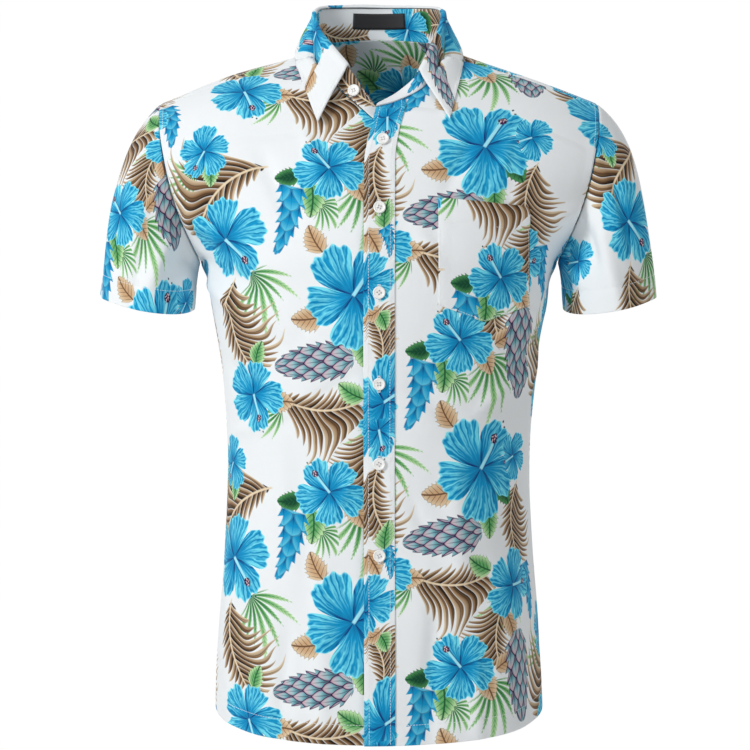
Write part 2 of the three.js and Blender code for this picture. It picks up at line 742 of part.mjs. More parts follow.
function buttonGeometry() {
  const { radius, height, rim, dish, round, draft } = BUTTON;
  const rimInner = radius - draft - rim;
  const profile = [
    [0, 0],
    [radius - round, 0],
    [radius, round],
    [radius - draft, height],
    [rimInner, height],
    [rimInner - round, height - dish],
    [0, height - dish],
  ].map(([r, h]) => new THREE.Vector2(r, h));
  return new THREE.LatheGeometry(profile, STEPS.buttonRound);
}

// The label follows the inside of the stand at centre back
function labelGrid() {
  const grid = [];
  for (let k = 0; k <= STEPS.labelAcross; k += 1) {
    const x = mix(-LABEL.halfWidth, LABEL.halfWidth, k / STEPS.labelAcross);
    let share = 0;
    while (neckAt(share).seam.x < abs(x)) share += SEARCH_STEP;
    const { seam, top } = neckAt(x < 0 ? -share : share);
    const inside = point(-seam.x, LABEL.aimY - seam.y, 0).normalize();
    grid.push([LABEL.low, LABEL.high].map((z) => seam.clone().lerp(top, (z - seam.z) / (top.z - seam.z))
      .addScaledVector(inside, LABEL.air)));
  }
  return grid;
}

// The button on the stand's right end faces straight out of the stand
function standButtonSpot() {
  const { seam, top } = neckAt(-STAND_BUTTON.share);
  const next = neckAt(-STAND_BUTTON.share - SHARE_STEP);
  const normal = next.seam.clone().sub(seam).cross(top.clone().sub(seam)).normalize();
  if (normal.y > 0) normal.negate();
  const at = seam.lerp(top, STAND_BUTTON.up).addScaledVector(normal, STAND_WALL + STAND_BUTTON.shank);
  return { at, normal };
}

// Sets a button flat on cloth: its foot at a place, its face along a direction
function buttonMesh(name, place, direction) {
  const mesh = new THREE.Mesh(buttonGeometry(), plain(COLOURS.button, 0.35));
  mesh.name = name;
  mesh.position.copy(place);
  mesh.quaternion.setFromUnitVectors(point(0, 1, 0), direction);
  return mesh;
}

function plain(colour, roughness) {
  return new THREE.MeshStandardMaterial({ color: colour, roughness, metalness: 0 });
}

function clothMesh(name, geometry, colour) {
  const mesh = new THREE.Mesh(geometry, plain(colour, 0.85));
  mesh.name = name;
  return mesh;
}

const shirt = new THREE.Group();
const inward = { below: PANEL_WALL, above: 0 };
const outward = { below: 0, above: PANEL_WALL, centre: torsoCentre };

const frontEdges = { last: EDGE_PULL, start: NECK_PULL, end: EDGE_PULL };
const backEdges = { last: EDGE_PULL, start: EDGE_PULL, end: EDGE_PULL };
const yokeEdges = { first: EDGE_PULL, last: EDGE_PULL, start: NECK_PULL, end: EDGE_PULL };
const neckRow = STEPS.frontBands[0] + STEPS.frontBands[1];
const panelOf = (grid, centre = torsoCentre) => ({ grid, away: normals(grid, false, centre) });
const panels = {
  front_right: panelOf(pulledIn(frontGrid(-1), frontEdges, neckRow)),
  front_left: panelOf(pulledIn(frontGrid(1), frontEdges, neckRow)),
  back: panelOf(pulledIn(backGrid(), backEdges)),
  yoke: panelOf(pulledIn(yokeGrid(), yokeEdges), yokeCentre),
};
const [rightFront, leftFront] = [-1, 1].map((side) => panelOf(frontGrid(side, FINER)));
const placket = cleared(placketGrid(leftFront), panels.front_left);
const pocket = cleared(pocketGrid(leftFront), panels.front_left);
meetAtSeams(Object.values(panels));

const panelColours = {
  front_right: COLOURS.rightFront,
  front_left: COLOURS.leftFront,
  back: COLOURS.back,
  yoke: COLOURS.yoke,
};
for (const [name, { grid, away }] of Object.entries(panels)) {
  shirt.add(clothMesh(name, wall(grid, { ...inward, away }), panelColours[name]));
}
shirt.add(clothMesh('placket', wall(placket, outward), COLOURS.placket));
shirt.add(clothMesh('pocket', wall(pocket, outward), COLOURS.pocket));

for (const [name, side] of [['sleeve_right', -1], ['sleeve_left', 1]]) {
  const grid = pulledIn(sleeveGrid(side), { first: SLEEVE_AIR });
  const centre = point(side * CUFF.x, CUFF.y, yokeCentre.z);
  shirt.add(clothMesh(name, wall(grid, { ...inward, closed: true, centre }), COLOURS.sleeve));
}

const standWall = { below: 0, above: STAND_WALL, centre: neckCentre };
const leafWall = { below: 0, above: LEAF_WALL, centre: neckCentre };
const labelWall = { below: LABEL_WALL, above: 0, centre: neckCentre };
const leaf = leafGrid({ right: rightFront, left: leftFront });
shirt.add(clothMesh('collar_stand', wall(standGrid(), standWall), COLOURS.stand));
shirt.add(clothMesh('collar_leaf', wall(leaf, leafWall), COLOURS.leaf));
shirt.add(clothMesh('neck_label', wall(labelGrid(), labelWall), COLOURS.label));

const placketSkin = { grid: placket, away: normals(placket, false, torsoCentre) };
BUTTON_HEIGHTS.forEach((z, k) => {
  const [innerEdge, outerEdge] = read(PLACKET_EDGES, z);
  const { at, normal } = dropOn(placketSkin.grid, placketSkin.away, (innerEdge + outerEdge) / 2, z);
  shirt.add(buttonMesh(`button_${k + 1}`, at.addScaledVector(normal, PANEL_WALL + BUTTON_AIR), normal));
});
const standSpot = standButtonSpot();
shirt.add(buttonMesh('button_stand', standSpot.at, standSpot.normal));

export default shirt;
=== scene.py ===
"""A short-sleeved shirt with a printed flower cloth, in its worn shape with nobody in it.

The shapes are worked out in millimetres from the same sizes as the CAD part and built in
metres. +X is the wearer's left, -Y the front and +Z up.
"""
import json
import math

import bpy
import numpy as np
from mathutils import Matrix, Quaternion, Vector
from mathutils.bvhtree import BVHTree

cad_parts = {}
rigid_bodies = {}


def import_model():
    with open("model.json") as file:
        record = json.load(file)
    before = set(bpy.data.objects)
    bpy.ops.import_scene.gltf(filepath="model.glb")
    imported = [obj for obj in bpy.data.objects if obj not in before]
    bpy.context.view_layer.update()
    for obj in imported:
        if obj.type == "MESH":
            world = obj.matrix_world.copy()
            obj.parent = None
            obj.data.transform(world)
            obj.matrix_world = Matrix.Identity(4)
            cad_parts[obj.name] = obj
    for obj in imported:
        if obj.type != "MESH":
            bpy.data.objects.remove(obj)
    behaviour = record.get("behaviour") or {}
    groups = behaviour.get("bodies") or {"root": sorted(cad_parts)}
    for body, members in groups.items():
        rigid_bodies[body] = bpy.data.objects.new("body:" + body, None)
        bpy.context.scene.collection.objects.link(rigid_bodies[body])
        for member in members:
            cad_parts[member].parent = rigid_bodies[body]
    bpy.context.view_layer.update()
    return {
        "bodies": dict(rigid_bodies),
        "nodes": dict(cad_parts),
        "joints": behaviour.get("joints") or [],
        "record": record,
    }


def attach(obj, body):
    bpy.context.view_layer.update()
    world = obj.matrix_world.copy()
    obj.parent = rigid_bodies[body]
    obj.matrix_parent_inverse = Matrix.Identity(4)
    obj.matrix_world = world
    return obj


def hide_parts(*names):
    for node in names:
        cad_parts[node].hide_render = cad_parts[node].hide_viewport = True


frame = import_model()

MM = 0.001

# The torso by height: centre front and centre back depth, side seam place
# columns: z, front y, back y, side x, side y
TORSO = [
    (-720, -126, 125, 171, 4),
    (-600, -121, 120, 167, 4),
    (-520, -117, 112, 161, 4),
    (-440, -117, 105, 158, 4),
    (-360, -122, 107, 162, 3),
    (-300, -127, 114, 169, 2),
    (-250, -130, 120, 177, 1),
    (-225, -131, 122, 187, 0),
    (-150, -118, 118, 187, 0),
    (-110, -104, 109, 187, 0),
    (-72, -88, 97, 187, 0),
]
HEM_CENTRE_Z = -714
HEM_SIDE_Z = -684
UNDERARM_Z = -225
UNDERARM_DROP = 5
BACK_YOKE_Z = -75
SHOULDER_RISE = 4
YOKE_BACK_RISE = 8
SHOULDER_UP = np.array([0.3, 0, 0.95])
YOKE_BACK_UP = np.array([0, 0.85, 0.5])
FULLNESS = {"hem": 2.5, "underarm": 2.35, "chest": 1.6, "back_yoke": 1.7, "shoulder": 1.0}
FRONT_OVERLAP = 15
LEFT_FRONT_LIFT = 3.2

# How far the right front's top corner sinks below the left front
# columns: z, inward move
RIGHT_FRONT_SINK = [(-160, 0), (-120, 3), (-99, 6)]

# The left front's edge, and the placket with it, lean to the wearer's left at the top
# columns: z, placket's inner edge x, placket's outer edge x
PLACKET_EDGES = [(-720, -15, 16), (-130, -15, 16), (-98, -9, 20), (-72, -3, 27)]
PLACKET_TOP_Z = -72

# Armhole seam of the left side, from the underarm up the front and down the back
# columns: x, y, z
ARMHOLE = [
    (187, 0, -225),
    (203, -42, -188),
    (213, -56, -158),
    (221, -58, -125),
    (227, -45, -92),
    (229, -18, -66),
    (228, 8, -60),
    (226, 35, -75),
    (220, 52, -110),
    (213, 58, -150),
    (203, 48, -190),
]
ARMHOLE_CHEST_ROW = 3
ARMHOLE_SHOULDER_ROW = 5
ARMHOLE_YOKE_ROW = 8

# The neck, keyed by the share of the way round from centre back
# columns: share, neck seam x y z, stand top x y z, leaf edge x y z
NECK_BACK = [
    (0.00, 0, 52, 14, 0, 47, 46.5, 0, 62, 4),
    (0.18, 38, 44, 11, 36, 40, 45.8, 44, 54, 1),
    (0.36, 62, 24, 5, 60, 21, 42, 74, 32, -1),
    (0.54, 71, -4, -4, 66, -2, 33, 86, 0, -5),
]
NECK_LEFT_FRONT = [
    (0.65, 70, -20, -12, 64, -15, 22, 87, -18, -14),
    (0.80, 61, -43, -29, 57, -36, 2, 84, -46, -36),
    (1.00, 44, -67, -51, 40, -64, -35, 71, -95, -85),
    (1.20, 18, -82, -66, 20, -67, -55, 71, -95, -85),
    (1.35, -3, -88, -72, -1, -77, -68, 71, -95, -85),
]
NECK_RIGHT_FRONT = [
    (0.65, 70, -20, -12, 64, -15, 22, 86, -18, -14),
    (0.80, 61, -42, -28, 56, -36, 3, 82, -44, -34),
    (1.00, 43, -65, -49, 31, -68, -30, 62, -92, -88),
    (1.20, 22, -77, -69, 15, -72, -54, 62, -92, -88),
    (1.35, 6, -84, -84, 1, -75, -75, 62, -92, -88),
    (1.50, -12, -91, -99, -11, -80, -91, 62, -92, -88),
]
NECK_MIRROR = (-1, -1, 1, 1, -1, 1, 1, -1, 1, 1)
NECK_SHOULDER_SHARE = 0.65
LEAF_FRONT_SHARE = 1

# Sleeve: how its columns leave the armhole and reach the opening
CUFF = {"x": 241.5, "z": -266, "half_width": 48.5, "half_depth": 72, "outer_rise": 9, "front_drop": 13}
SLEEVE_UNDERARM = {"out": 0.3, "down": 0.95, "leave": 45, "arrive": 50}
SLEEVE_TOP = {"out": 0.78, "down": 0.62, "leave": 200, "arrive": 200}
SLEEVE_SPREAD = 0.25
SLEEVE_FALL = np.array([0.11, 0, -0.99])

POCKET = {
    "inner": 59, "outer": 152, "top_inner": -167, "top_outer": -174,
    "side": -274, "point": -291, "slack": 1.6,
}
BUTTON_HEIGHTS = [-107, -177, -262, -353, -433, -525]
BUTTON_RADIUS = 6.3
BUTTON_HEIGHT = 2.4
STAND_BUTTON = {"share": 1.13, "up": 0.45, "lift": 2.7}
LABEL = {"half_width": 28.5, "low": 25, "high": 41.5, "air": 0.5, "aim_y": -20}

# Soft folds that the CAD walls carry too
# columns: face (-1 front, 1 back), x and z of one end, x and z of the other, half-width, height
FOLDS = [
    (-1, 200, -200, 158, -240, 15, -3.0),
    (-1, 180, -250, 128, -322, 18, 3.0),
    (-1, -196, -205, -128, -250, 16, -3.5),
    (-1, -178, -252, -132, -330, 18, 3.0),
    (-1, 146, -360, 126, -520, 17, -3.0),
    (-1, -142, -350, -128, -505, 17, -3.0),
    (-1, 118, -560, 128, -714, 20, 3.0),
    (-1, -112, -570, -124, -714, 20, 3.0),
    (1, 60, -180, 78, -420, 24, -4.0),
    (1, -66, -190, -72, -440, 24, -4.0),
    (1, 118, -330, 104, -640, 22, 3.5),
    (1, -112, -350, -120, -620, 22, 3.5),
    (1, 6, -430, -8, -714, 24, -3.0),
]
FOLD_REACH = 2.5
FOLD_EDGE = 0.14
ROW_SAMPLES = 96


def mix(a, b, s):
    return a + (b - a) * s


def smoothstep(low, high, value):
    s = np.clip((value - low) / (high - low), 0, 1)
    return s * s * (3 - 2 * s)


def unit(vectors):
    return vectors / np.maximum(np.linalg.norm(vectors, axis=-1, keepdims=True), 1e-9)


def read(rows, key):
    """Reads a keyed table as one smooth curve: every column after the key."""
    last = len(rows) - 1
    i = 0
    while i < last - 1 and key > rows[i + 1][0]:
        i += 1
    span = rows[i + 1][0] - rows[i][0]
    s = min(max((key - rows[i][0]) / span, 0), 1)

    def slope(k):
        before = np.array(rows[max(k - 1, 0)], float)
        after = np.array(rows[min(k + 1, last)], float)
        return (after[1:] - before[1:]) / (after[0] - before[0]) * span

    a = np.array(rows[i][1:], float)
    b = np.array(rows[i + 1][1:], float)
    return (
        (2 * s**3 - 3 * s**2 + 1) * a + (s**3 - 2 * s**2 + s) * slope(i)
        + (3 * s**2 - 2 * s**3) * b + (s**3 - s**2) * slope(i + 1)
    )


def ring_table(rows):
    """A closed ring of points, keyed by length, that can be read past its ends."""
    closed = np.array([*rows, rows[0]], float)
    keys = np.concatenate([[0], np.cumsum(np.linalg.norm(np.diff(closed, axis=0), axis=1))])
    keyed = np.column_stack([keys / keys[-1], closed])
    shift = np.array([1, 0, 0, 0])
    return [*(keyed[:-1] - shift), *keyed, *(keyed[1:] + shift)], keyed[:, 0]


armhole_rows, armhole_shares = ring_table(ARMHOLE)


def armhole(share):
    return read(armhole_rows, share)


def neck_lines(place):
    """Neck seam, stand top and leaf edge. place is negative on the wearer's right."""
    side = -1 if place < 0 else 1
    front = NECK_LEFT_FRONT if side > 0 else NECK_RIGHT_FRONT
    before = [m * v for m, v in zip(NECK_MIRROR, NECK_BACK[1])]
    lines = read([before, *NECK_BACK, *front], abs(place)).reshape(3, 3)
    return lines * np.array([side, 1, 1])


def girth_row(centre, outer, fullness):
    """One row of a panel from its centre edge to its outer edge."""
    angle = np.linspace(0, 1, ROW_SAMPLES + 1) ** (fullness / 2) * math.pi / 2
    along = np.sin(angle) ** (2 / fullness)
    back = 1 - np.maximum(np.cos(angle), 0) ** (2 / fullness)
    span = outer - centre
    return centre + np.column_stack([along, back, back]) * span


def arc_lengths(points):
    steps = np.linalg.norm(np.diff(points, axis=0), axis=1)
    return np.concatenate([[0], np.cumsum(steps)])


def spaced(points, count, start=(), end=()):
    """Points along a line: at set distances from each end, and evenly between."""
    lengths = arc_lengths(points)
    whole = lengths[-1]
    low = start[-1] if start else 0
    high = whole - (end[-1] if end else 0)
    places = np.concatenate([
        [0, *start[:-1]] if start else [],
        np.linspace(low, high, count + 1),
        [*(whole - np.array(end[:-1]))[::-1], whole] if end else [],
    ])
    return np.column_stack([np.interp(places, lengths, points[:, k]) for k in range(3)])


def crease_height(rows, face, x, z):
    """How far straight creases of one face lift the cloth at places seen from the front."""
    height = np.zeros_like(x)
    for row_face, x0, z0, x1, z1, half_width, rise in rows:
        if row_face != face:
            continue
        length = math.hypot(x1 - x0, z1 - z0)
        along = ((x - x0) * (x1 - x0) + (z - z0) * (z1 - z0)) / length**2
        aside = ((x - x0) * (z1 - z0) - (z - z0) * (x1 - x0)) / length
        ends = smoothstep(-0.25, 0.3, along) * (1 - smoothstep(0.7, 1.25, along))
        near = np.abs(aside) <= FOLD_REACH * half_width
        height += near * rise * ends * np.exp(-((aside / half_width) ** 2))
    return height


def folded(row, face, pinned):
    """Moves a row in or out by the folds, square to the torso's round form."""
    share = np.linspace(0, 1, len(row))
    held = smoothstep(0, FOLD_EDGE, np.minimum(share, 1 - share)) if pinned else 1
    away = unit(row * np.array([0.5, 1, 0]))
    lift = crease_height(FOLDS, face, row[:, 0], row[:, 2]) * held
    return row + away * lift[:, None]


def torso_at(z):
    return read(TORSO, z)


def front_row(side, place):
    """A front's row. Places 0-1 run from the hem to the underarm, 1-2 to the neck, 2-3 to the shoulder."""
    band = min(int(place), 2)
    part = place - band
    neck_end = (NECK_LEFT_FRONT if side > 0 else NECK_RIGHT_FRONT)[-1]
    corner_share, corner_z = neck_end[0], neck_end[3]
    flip = np.array([side, 1, 1])

    def centre(z):
        edge = read(PLACKET_EDGES, z)[0] if side > 0 else FRONT_OVERLAP
        sink = read(RIGHT_FRONT_SINK, z)[0] if z > RIGHT_FRONT_SINK[0][0] else 0
        return np.array([edge, torso_at(z)[0] + (-LEFT_FRONT_LIFT if side > 0 else sink), z])

    if band == 0:
        side_z = mix(HEM_SIDE_Z, UNDERARM_Z, part)
        level = torso_at(side_z)
        end = np.array([level[2], level[3], side_z]) * flip
        start = centre(mix(HEM_CENTRE_Z, UNDERARM_Z - UNDERARM_DROP, part))
        return girth_row(start, end, mix(FULLNESS["hem"], FULLNESS["underarm"], part))
    if band == 1:
        start = centre(mix(UNDERARM_Z - UNDERARM_DROP, corner_z, part))
        end = armhole(part * armhole_shares[ARMHOLE_CHEST_ROW]) * flip
        return girth_row(start, end, mix(FULLNESS["underarm"], FULLNESS["chest"], part))
    neck = neck_lines(side * mix(corner_share, NECK_SHOULDER_SHARE, part))[0]
    if part == 0:
        neck = centre(corner_z)
    chest, shoulder = armhole_shares[[ARMHOLE_CHEST_ROW, ARMHOLE_SHOULDER_ROW]]
    corner = armhole(mix(chest, shoulder, part)) * flip
    row = girth_row(neck, corner, mix(FULLNESS["chest"], FULLNESS["shoulder"], part))
    s = np.linalg.norm(row - neck, axis=1) / np.linalg.norm(corner - neck)
    return row + (SHOULDER_RISE * part * 4 * s * (1 - s))[:, None] * SHOULDER_UP * flip


def back_half_row(place):
    """Half a row of the back. Places 0-1 run from the hem to the underarm, 1-2 to the yoke seam."""
    band = min(int(place), 1)
    part = place - band
    if band == 0:
        side_z = mix(HEM_SIDE_Z, UNDERARM_Z, part)
        level = torso_at(side_z)
        end = np.array([level[2], level[3], side_z])
        z = mix(HEM_CENTRE_Z, UNDERARM_Z, part)
        fullness = mix(FULLNESS["hem"], FULLNESS["underarm"], part)
        return girth_row(np.array([0, torso_at(z)[1], z]), end, fullness)
    z = mix(UNDERARM_Z, BACK_YOKE_Z, part)
    end = armhole(mix(1, armhole_shares[ARMHOLE_YOKE_ROW], part))
    fullness = mix(FULLNESS["underarm"], FULLNESS["back_yoke"], part)
    return girth_row(np.array([0, torso_at(z)[1], z]), end, fullness)


def mirrored(points):
    return points * np.array([-1, 1, 1])


def whole_row(half):
    return np.concatenate([mirrored(half)[::-1], half[1:]])

# Creases of the cloth, seen from the front or the back, uneven in length, depth and spacing
# columns: face (-1 front, 1 back), x and z of one end, x and z of the other, half-width, height
CREASES = [
    # wearer's right front, at picture left
    (-1, -206, -178, -150, -214, 7, 2.0),
    (-1, -198, -222, -112, -262, 8, -2.4),
    (-1, -192, -238, -138, -284, 5, 1.6),
    (-1, -170, -262, -96, -300, 9, 1.5),
    (-1, -120, -120, -84, -196, 9, -1.5),
    (-1, -76, -96, -52, -170, 7, 1.2),
    (-1, -28, -250, -78, -298, 7, -1.2),
    (-1, -24, -345, -96, -392, 8, -1.4),
    (-1, -158, -330, -104, -372, 7, -1.6),
    (-1, -150, -404, -100, -386, 6, 1.2),
    (-1, -86, -420, -70, -560, 12, -1.6),
    (-1, -60, -540, -56, -714, 11, 1.8),
    (-1, -92, -600, -100, -714, 8, -1.5),
    (-1, -150, -520, -154, -690, 9, 1.8),
    (-1, -26, -440, -50, -500, 6, 1.0),
    # wearer's left front, at picture right
    (-1, 212, -170, 160, -196, 7, 2.1),
    (-1, 200, -214, 168, -262, 6, -2.0),
    (-1, 188, -236, 118, -306, 7, 1.8),
    (-1, 176, -290, 130, -352, 8, -1.6),
    (-1, 96, -104, 66, -160, 8, -1.3),
    (-1, 130, -110, 118, -164, 7, 1.1),
    (-1, 30, -180, 62, -240, 8, 1.0),
    (-1, 36, -356, 92, -408, 8, -1.5),
    (-1, 156, -338, 100, -380, 7, 1.6),
    (-1, 150, -420, 96, -398, 7, -1.2),
    (-1, 76, -430, 84, -590, 12, 1.6),
    (-1, 58, -560, 50, -714, 10, -1.8),
    (-1, 96, -620, 100, -714, 8, 1.6),
    (-1, 150, -500, 156, -690, 9, -1.7),
    (-1, 32, -470, 56, -520, 6, -1.0),
    # back
    (1, -206, -170, -130, -236, 8, 2.2),
    (1, 208, -176, 140, -230, 8, 2.0),
    (1, -188, -240, -120, -312, 9, -1.9),
    (1, 190, -232, 112, -300, 8, -2.2),
    (1, -34, -96, -48, -210, 8, 1.6),
    (1, 38, -90, 34, -240, 9, -1.6),
    (1, -100, -110, -92, -200, 7, -1.2),
    (1, 104, -110, 110, -190, 8, 1.4),
    (1, -150, -360, -60, -404, 9, 1.6),
    (1, 152, -340, 70, -398, 10, -1.8),
    (1, -148, -420, -84, -386, 7, -1.3),
    (1, 146, -436, 60, -404, 7, 1.4),
    (1, -52, -470, -70, -714, 13, -2.0),
    (1, 48, -520, 66, -714, 12, 2.0),
    (1, -112, -640, -100, -714, 8, 1.7),
    (1, 130, -560, 140, -700, 10, -1.6),
    (1, 4, -160, -12, -300, 12, -1.2),
]

# Creases of a sleeve, by the share round from the underarm (front first) and the way down
# columns: side, share and down of one end, share and down of the other, half-width share, height
SLEEVE_CREASES = [
    (-1, 0.05, 0.10, 0.16, 0.62, 0.030, -2.6),
    (-1, 0.13, 0.05, 0.23, 0.80, 0.026, 2.2),
    (-1, 0.24, 0.16, 0.30, 1.10, 0.030, -2.0),
    (-1, 0.34, 0.02, 0.36, 0.55, 0.022, 1.4),
    (-1, 0.42, 0.30, 0.40, 1.10, 0.034, 1.8),
    (-1, 0.58, 0.05, 0.56, 0.80, 0.028, -1.6),
    (-1, 0.70, 0.12, 0.66, 1.10, 0.030, 2.0),
    (-1, 0.86, 0.04, 0.76, 0.75, 0.028, -2.3),
    (-1, 0.95, 0.10, 0.88, 0.60, 0.024, 1.8),
    (1, 0.04, 0.12, 0.13, 0.70, 0.028, 2.2),
    (1, 0.14, 0.02, 0.20, 0.60, 0.024, -2.2),
    (1, 0.20, 0.20, 0.27, 1.10, 0.030, 2.3),
    (1, 0.31, 0.04, 0.33, 0.70, 0.024, -1.6),
    (1, 0.40, 0.10, 0.42, 1.10, 0.032, 1.6),
    (1, 0.55, 0.02, 0.53, 0.62, 0.026, -1.5),
    (1, 0.66, 0.20, 0.62, 1.10, 0.034, 1.9),
    (1, 0.80, 0.05, 0.74, 0.85, 0.028, -2.2),
    (1, 0.92, 0.06, 0.84, 0.66, 0.026, 2.1),
]

CLOTH_THICK = 0.6
HEM_THICK = 1.3
HEM_DEPTH = 20
SLEEVE_HEM_DEPTH = 24
SEAM_SINK = 0.9
SEAM_WIDTH = 1.3
STITCH_SINK = 0.35
STITCH_WIDTH = 1.6
EDGE_STEPS = (0.7, 1.5, 2.6, 4.5, 7.5)
WAVE_HEIGHT = 0.8

# The slow unevenness of hanging cloth, as a few waves
# columns: waves per metre along x, y and z, phase, share of the height
WAVES = [
    (4.3, 2.1, 1.9, 0.4, 1.0),
    (-3.1, 5.2, 3.7, 2.1, 0.8),
    (8.7, -3.9, 2.6, 4.0, 0.5),
    (5.9, 7.1, -6.3, 1.3, 0.4),
]


def slopes(points, axis):
    return np.gradient(points, axis=axis, edge_order=2)


def normals_of(grid, centre, closed=False):
    """Unit directions out of the cloth, away from a centre inside it."""
    across = slopes(grid, 1)
    if closed:
        across = np.roll(grid, -1, axis=1) - np.roll(grid, 1, axis=1)
    found = unit(np.cross(across, slopes(grid, 0)))
    facing = np.sum(found * (grid - centre))
    return found * math.copysign(1, facing)


def waved(points):
    """The slow waves at places in the cloth, the same on both sides of a seam."""
    height = np.zeros(points.shape[:-1])
    for x, y, z, phase, share in WAVES:
        turn = 2 * math.pi * MM * (points[..., 0] * x + points[..., 1] * y + points[..., 2] * z)
        height += share * np.sin(turn + phase)
    return height * WAVE_HEIGHT


def edge_distances(grid):
    """Distances along the cloth from each point to its row's and its column's two ends."""
    across = np.linalg.norm(np.diff(grid, axis=1), axis=2)
    down = np.linalg.norm(np.diff(grid, axis=0), axis=2)
    from_start = np.concatenate([np.zeros((len(grid), 1)), np.cumsum(across, axis=1)], axis=1)
    from_first = np.concatenate([np.zeros((1, grid.shape[1])), np.cumsum(down, axis=0)], axis=0)
    return {
        "start": from_start,
        "end": from_start[:, -1:] - from_start,
        "first": from_first,
        "last": from_first[-1:] - from_first,
    }


class Cloth:
    """One cut piece: its grid of points, the ways out of it, its flat places and its thickness."""

    def __init__(self, name, grid, flat, centre, closed=False, seams=(), hem=None, hem_depth=HEM_DEPTH):
        self.name = name
        self.grid = grid
        self.flat = flat
        self.centre = np.array(centre, float)
        self.closed = closed
        self.hem = hem
        self.hem_depth = hem_depth
        self.far = edge_distances(grid)
        self.seam_far = np.full(grid.shape[:2], 99.0)
        for edge in seams:
            self.seam_far = np.minimum(self.seam_far, self.far[edge])
        self.hem_far = self.far[hem] if hem else np.full(grid.shape[:2], 99.0)
        self.away = normals_of(grid, self.centre, closed)

    def lift(self, height):
        """Moves the cloth out by a height at each point."""
        self.grid = self.grid + self.away * height[..., None]
        self.away = normals_of(self.grid, self.centre, self.closed)

    def sew(self):
        """Sinks the cloth at its seams and along the stitches of its hem."""
        sink = SEAM_SINK * np.exp(-((self.seam_far / SEAM_WIDTH) ** 2))
        sink += STITCH_SINK * np.exp(-(((self.hem_far - self.hem_depth) / STITCH_WIDTH) ** 2))
        self.lift(-sink)

    def thickness(self):
        thick = OUTWARD.get(self.name, CLOTH_THICK)
        return np.where(self.hem_far < self.hem_depth, max(HEM_THICK, thick), thick)


def mesh_object(name, points, faces, flat=None, far=None, smooth_faces=None):
    """A mesh in metres from points in millimetres, with its flat places as its UV map."""
    mesh = bpy.data.meshes.new(name)
    mesh.from_pydata((np.asarray(points) * MM).tolist(), [], [list(map(int, f)) for f in faces])
    mesh.validate()
    if flat is not None:
        layer = mesh.uv_layers.new(name="flat")
        corners = np.empty(len(mesh.loops), dtype=np.int32)
        mesh.loops.foreach_get("vertex_index", corners)
        layer.data.foreach_set("uv", (np.asarray(flat)[corners] * MM).ravel())
    if far is not None:
        attribute = mesh.attributes.new("seam_far", "FLOAT", "POINT")
        attribute.data.foreach_set("value", np.asarray(far, dtype=np.float32).ravel())
    smooth = np.ones(len(mesh.polygons), dtype=bool) if smooth_faces is None else smooth_faces
    mesh.polygons.foreach_set("use_smooth", smooth)
    made = bpy.data.objects.new(name, mesh)
    bpy.context.scene.collection.objects.link(made)
    return made


def shell_faces(rows, columns, closed):
    """Faces of a closed shell: an outer and an inner skin of one size, and the edges between."""
    across = columns if closed else columns - 1
    j, k = np.meshgrid(np.arange(rows - 1), np.arange(across), indexing="ij")
    j, k = j.ravel(), k.ravel()
    following = (k + 1) % columns
    skin = np.column_stack([j * columns + k, j * columns + following,
                            (j + 1) * columns + following, (j + 1) * columns + k])
    offset = rows * columns
    inner = skin[:, ::-1] + offset
    k = np.arange(across)
    following = (k + 1) % columns
    top = np.column_stack([k, k + offset, following + offset, following])
    low = (rows - 1) * columns
    bottom = np.column_stack([low + k, low + following, low + following + offset, low + k + offset])
    edges = [top, bottom]
    if not closed:
        j = np.arange(rows - 1) * columns
        edges.append(np.column_stack([j, j + columns, j + columns + offset, j + offset]))
        j = j + columns - 1
        edges.append(np.column_stack([j, j + offset, j + columns + offset, j + columns]))
    rim = np.concatenate(edges)
    faces = np.concatenate([skin, inner, rim])
    smooth = np.concatenate([np.ones(2 * len(skin), bool), np.zeros(len(rim), bool)])
    return faces, smooth


def turned_out(points, faces):
    """Faces in the winding that points out of a closed body."""
    a, b, c = (points[faces[:, n]] for n in (0, 1, 2))
    d = points[faces[:, 3]]
    volume = np.sum(a * np.cross(b, c)) + np.sum(a * np.cross(c, d))
    return faces if volume > 0 else faces[:, ::-1]


def shell_object(cloth):
    """The cloth's piece. Its wall lies inside its outer points, or outside them."""
    rows, columns = cloth.grid.shape[:2]
    inward = cloth.name not in OUTWARD
    thick = cloth.thickness()[..., None] * cloth.away
    outer = cloth.grid if inward else cloth.grid + thick
    inner = cloth.grid - thick if inward else cloth.grid
    points = np.concatenate([outer.reshape(-1, 3), inner.reshape(-1, 3)])
    flat = cloth.flat.reshape(-1, 2)
    faces, smooth = shell_faces(rows, columns, cloth.closed)
    faces = turned_out(points, faces)
    far = np.tile(cloth.seam_far.ravel(), 2)
    return mesh_object(f"shirt_{cloth.name}", points, faces, np.tile(flat, (2, 1)), far, smooth)

# How finely each piece is drawn
FRONT_ACROSS = 62
FRONT_BANDS = (92, 30, 22)
BACK_ACROSS = 130
BACK_BANDS = (92, 32)
YOKE_ROUND = 120
YOKE_OUT = 34
SLEEVE_ROUND = 132
SLEEVE_DOWN = 44
NECK_ROUND = 132
STAND_UP = 8
LEAF_DOWN = 18
PLACKET_DOWN = 200
PLACKET_ACROSS = 6
POCKET_ACROSS = 30
POCKET_DOWN = 34
BAND_LENGTHS = (475, 130, 65)
YOKE_CORNER = 0.35
SLEEVE_FLAT_ROUND = 415

TORSO_CENTRE = (0, 0, -300)
YOKE_CENTRE = (0, 0, -200)
NECK_CENTRE = (0, -15, -40)
CREASE_HOLD = 16
CREASE_DEPTH = 2.3


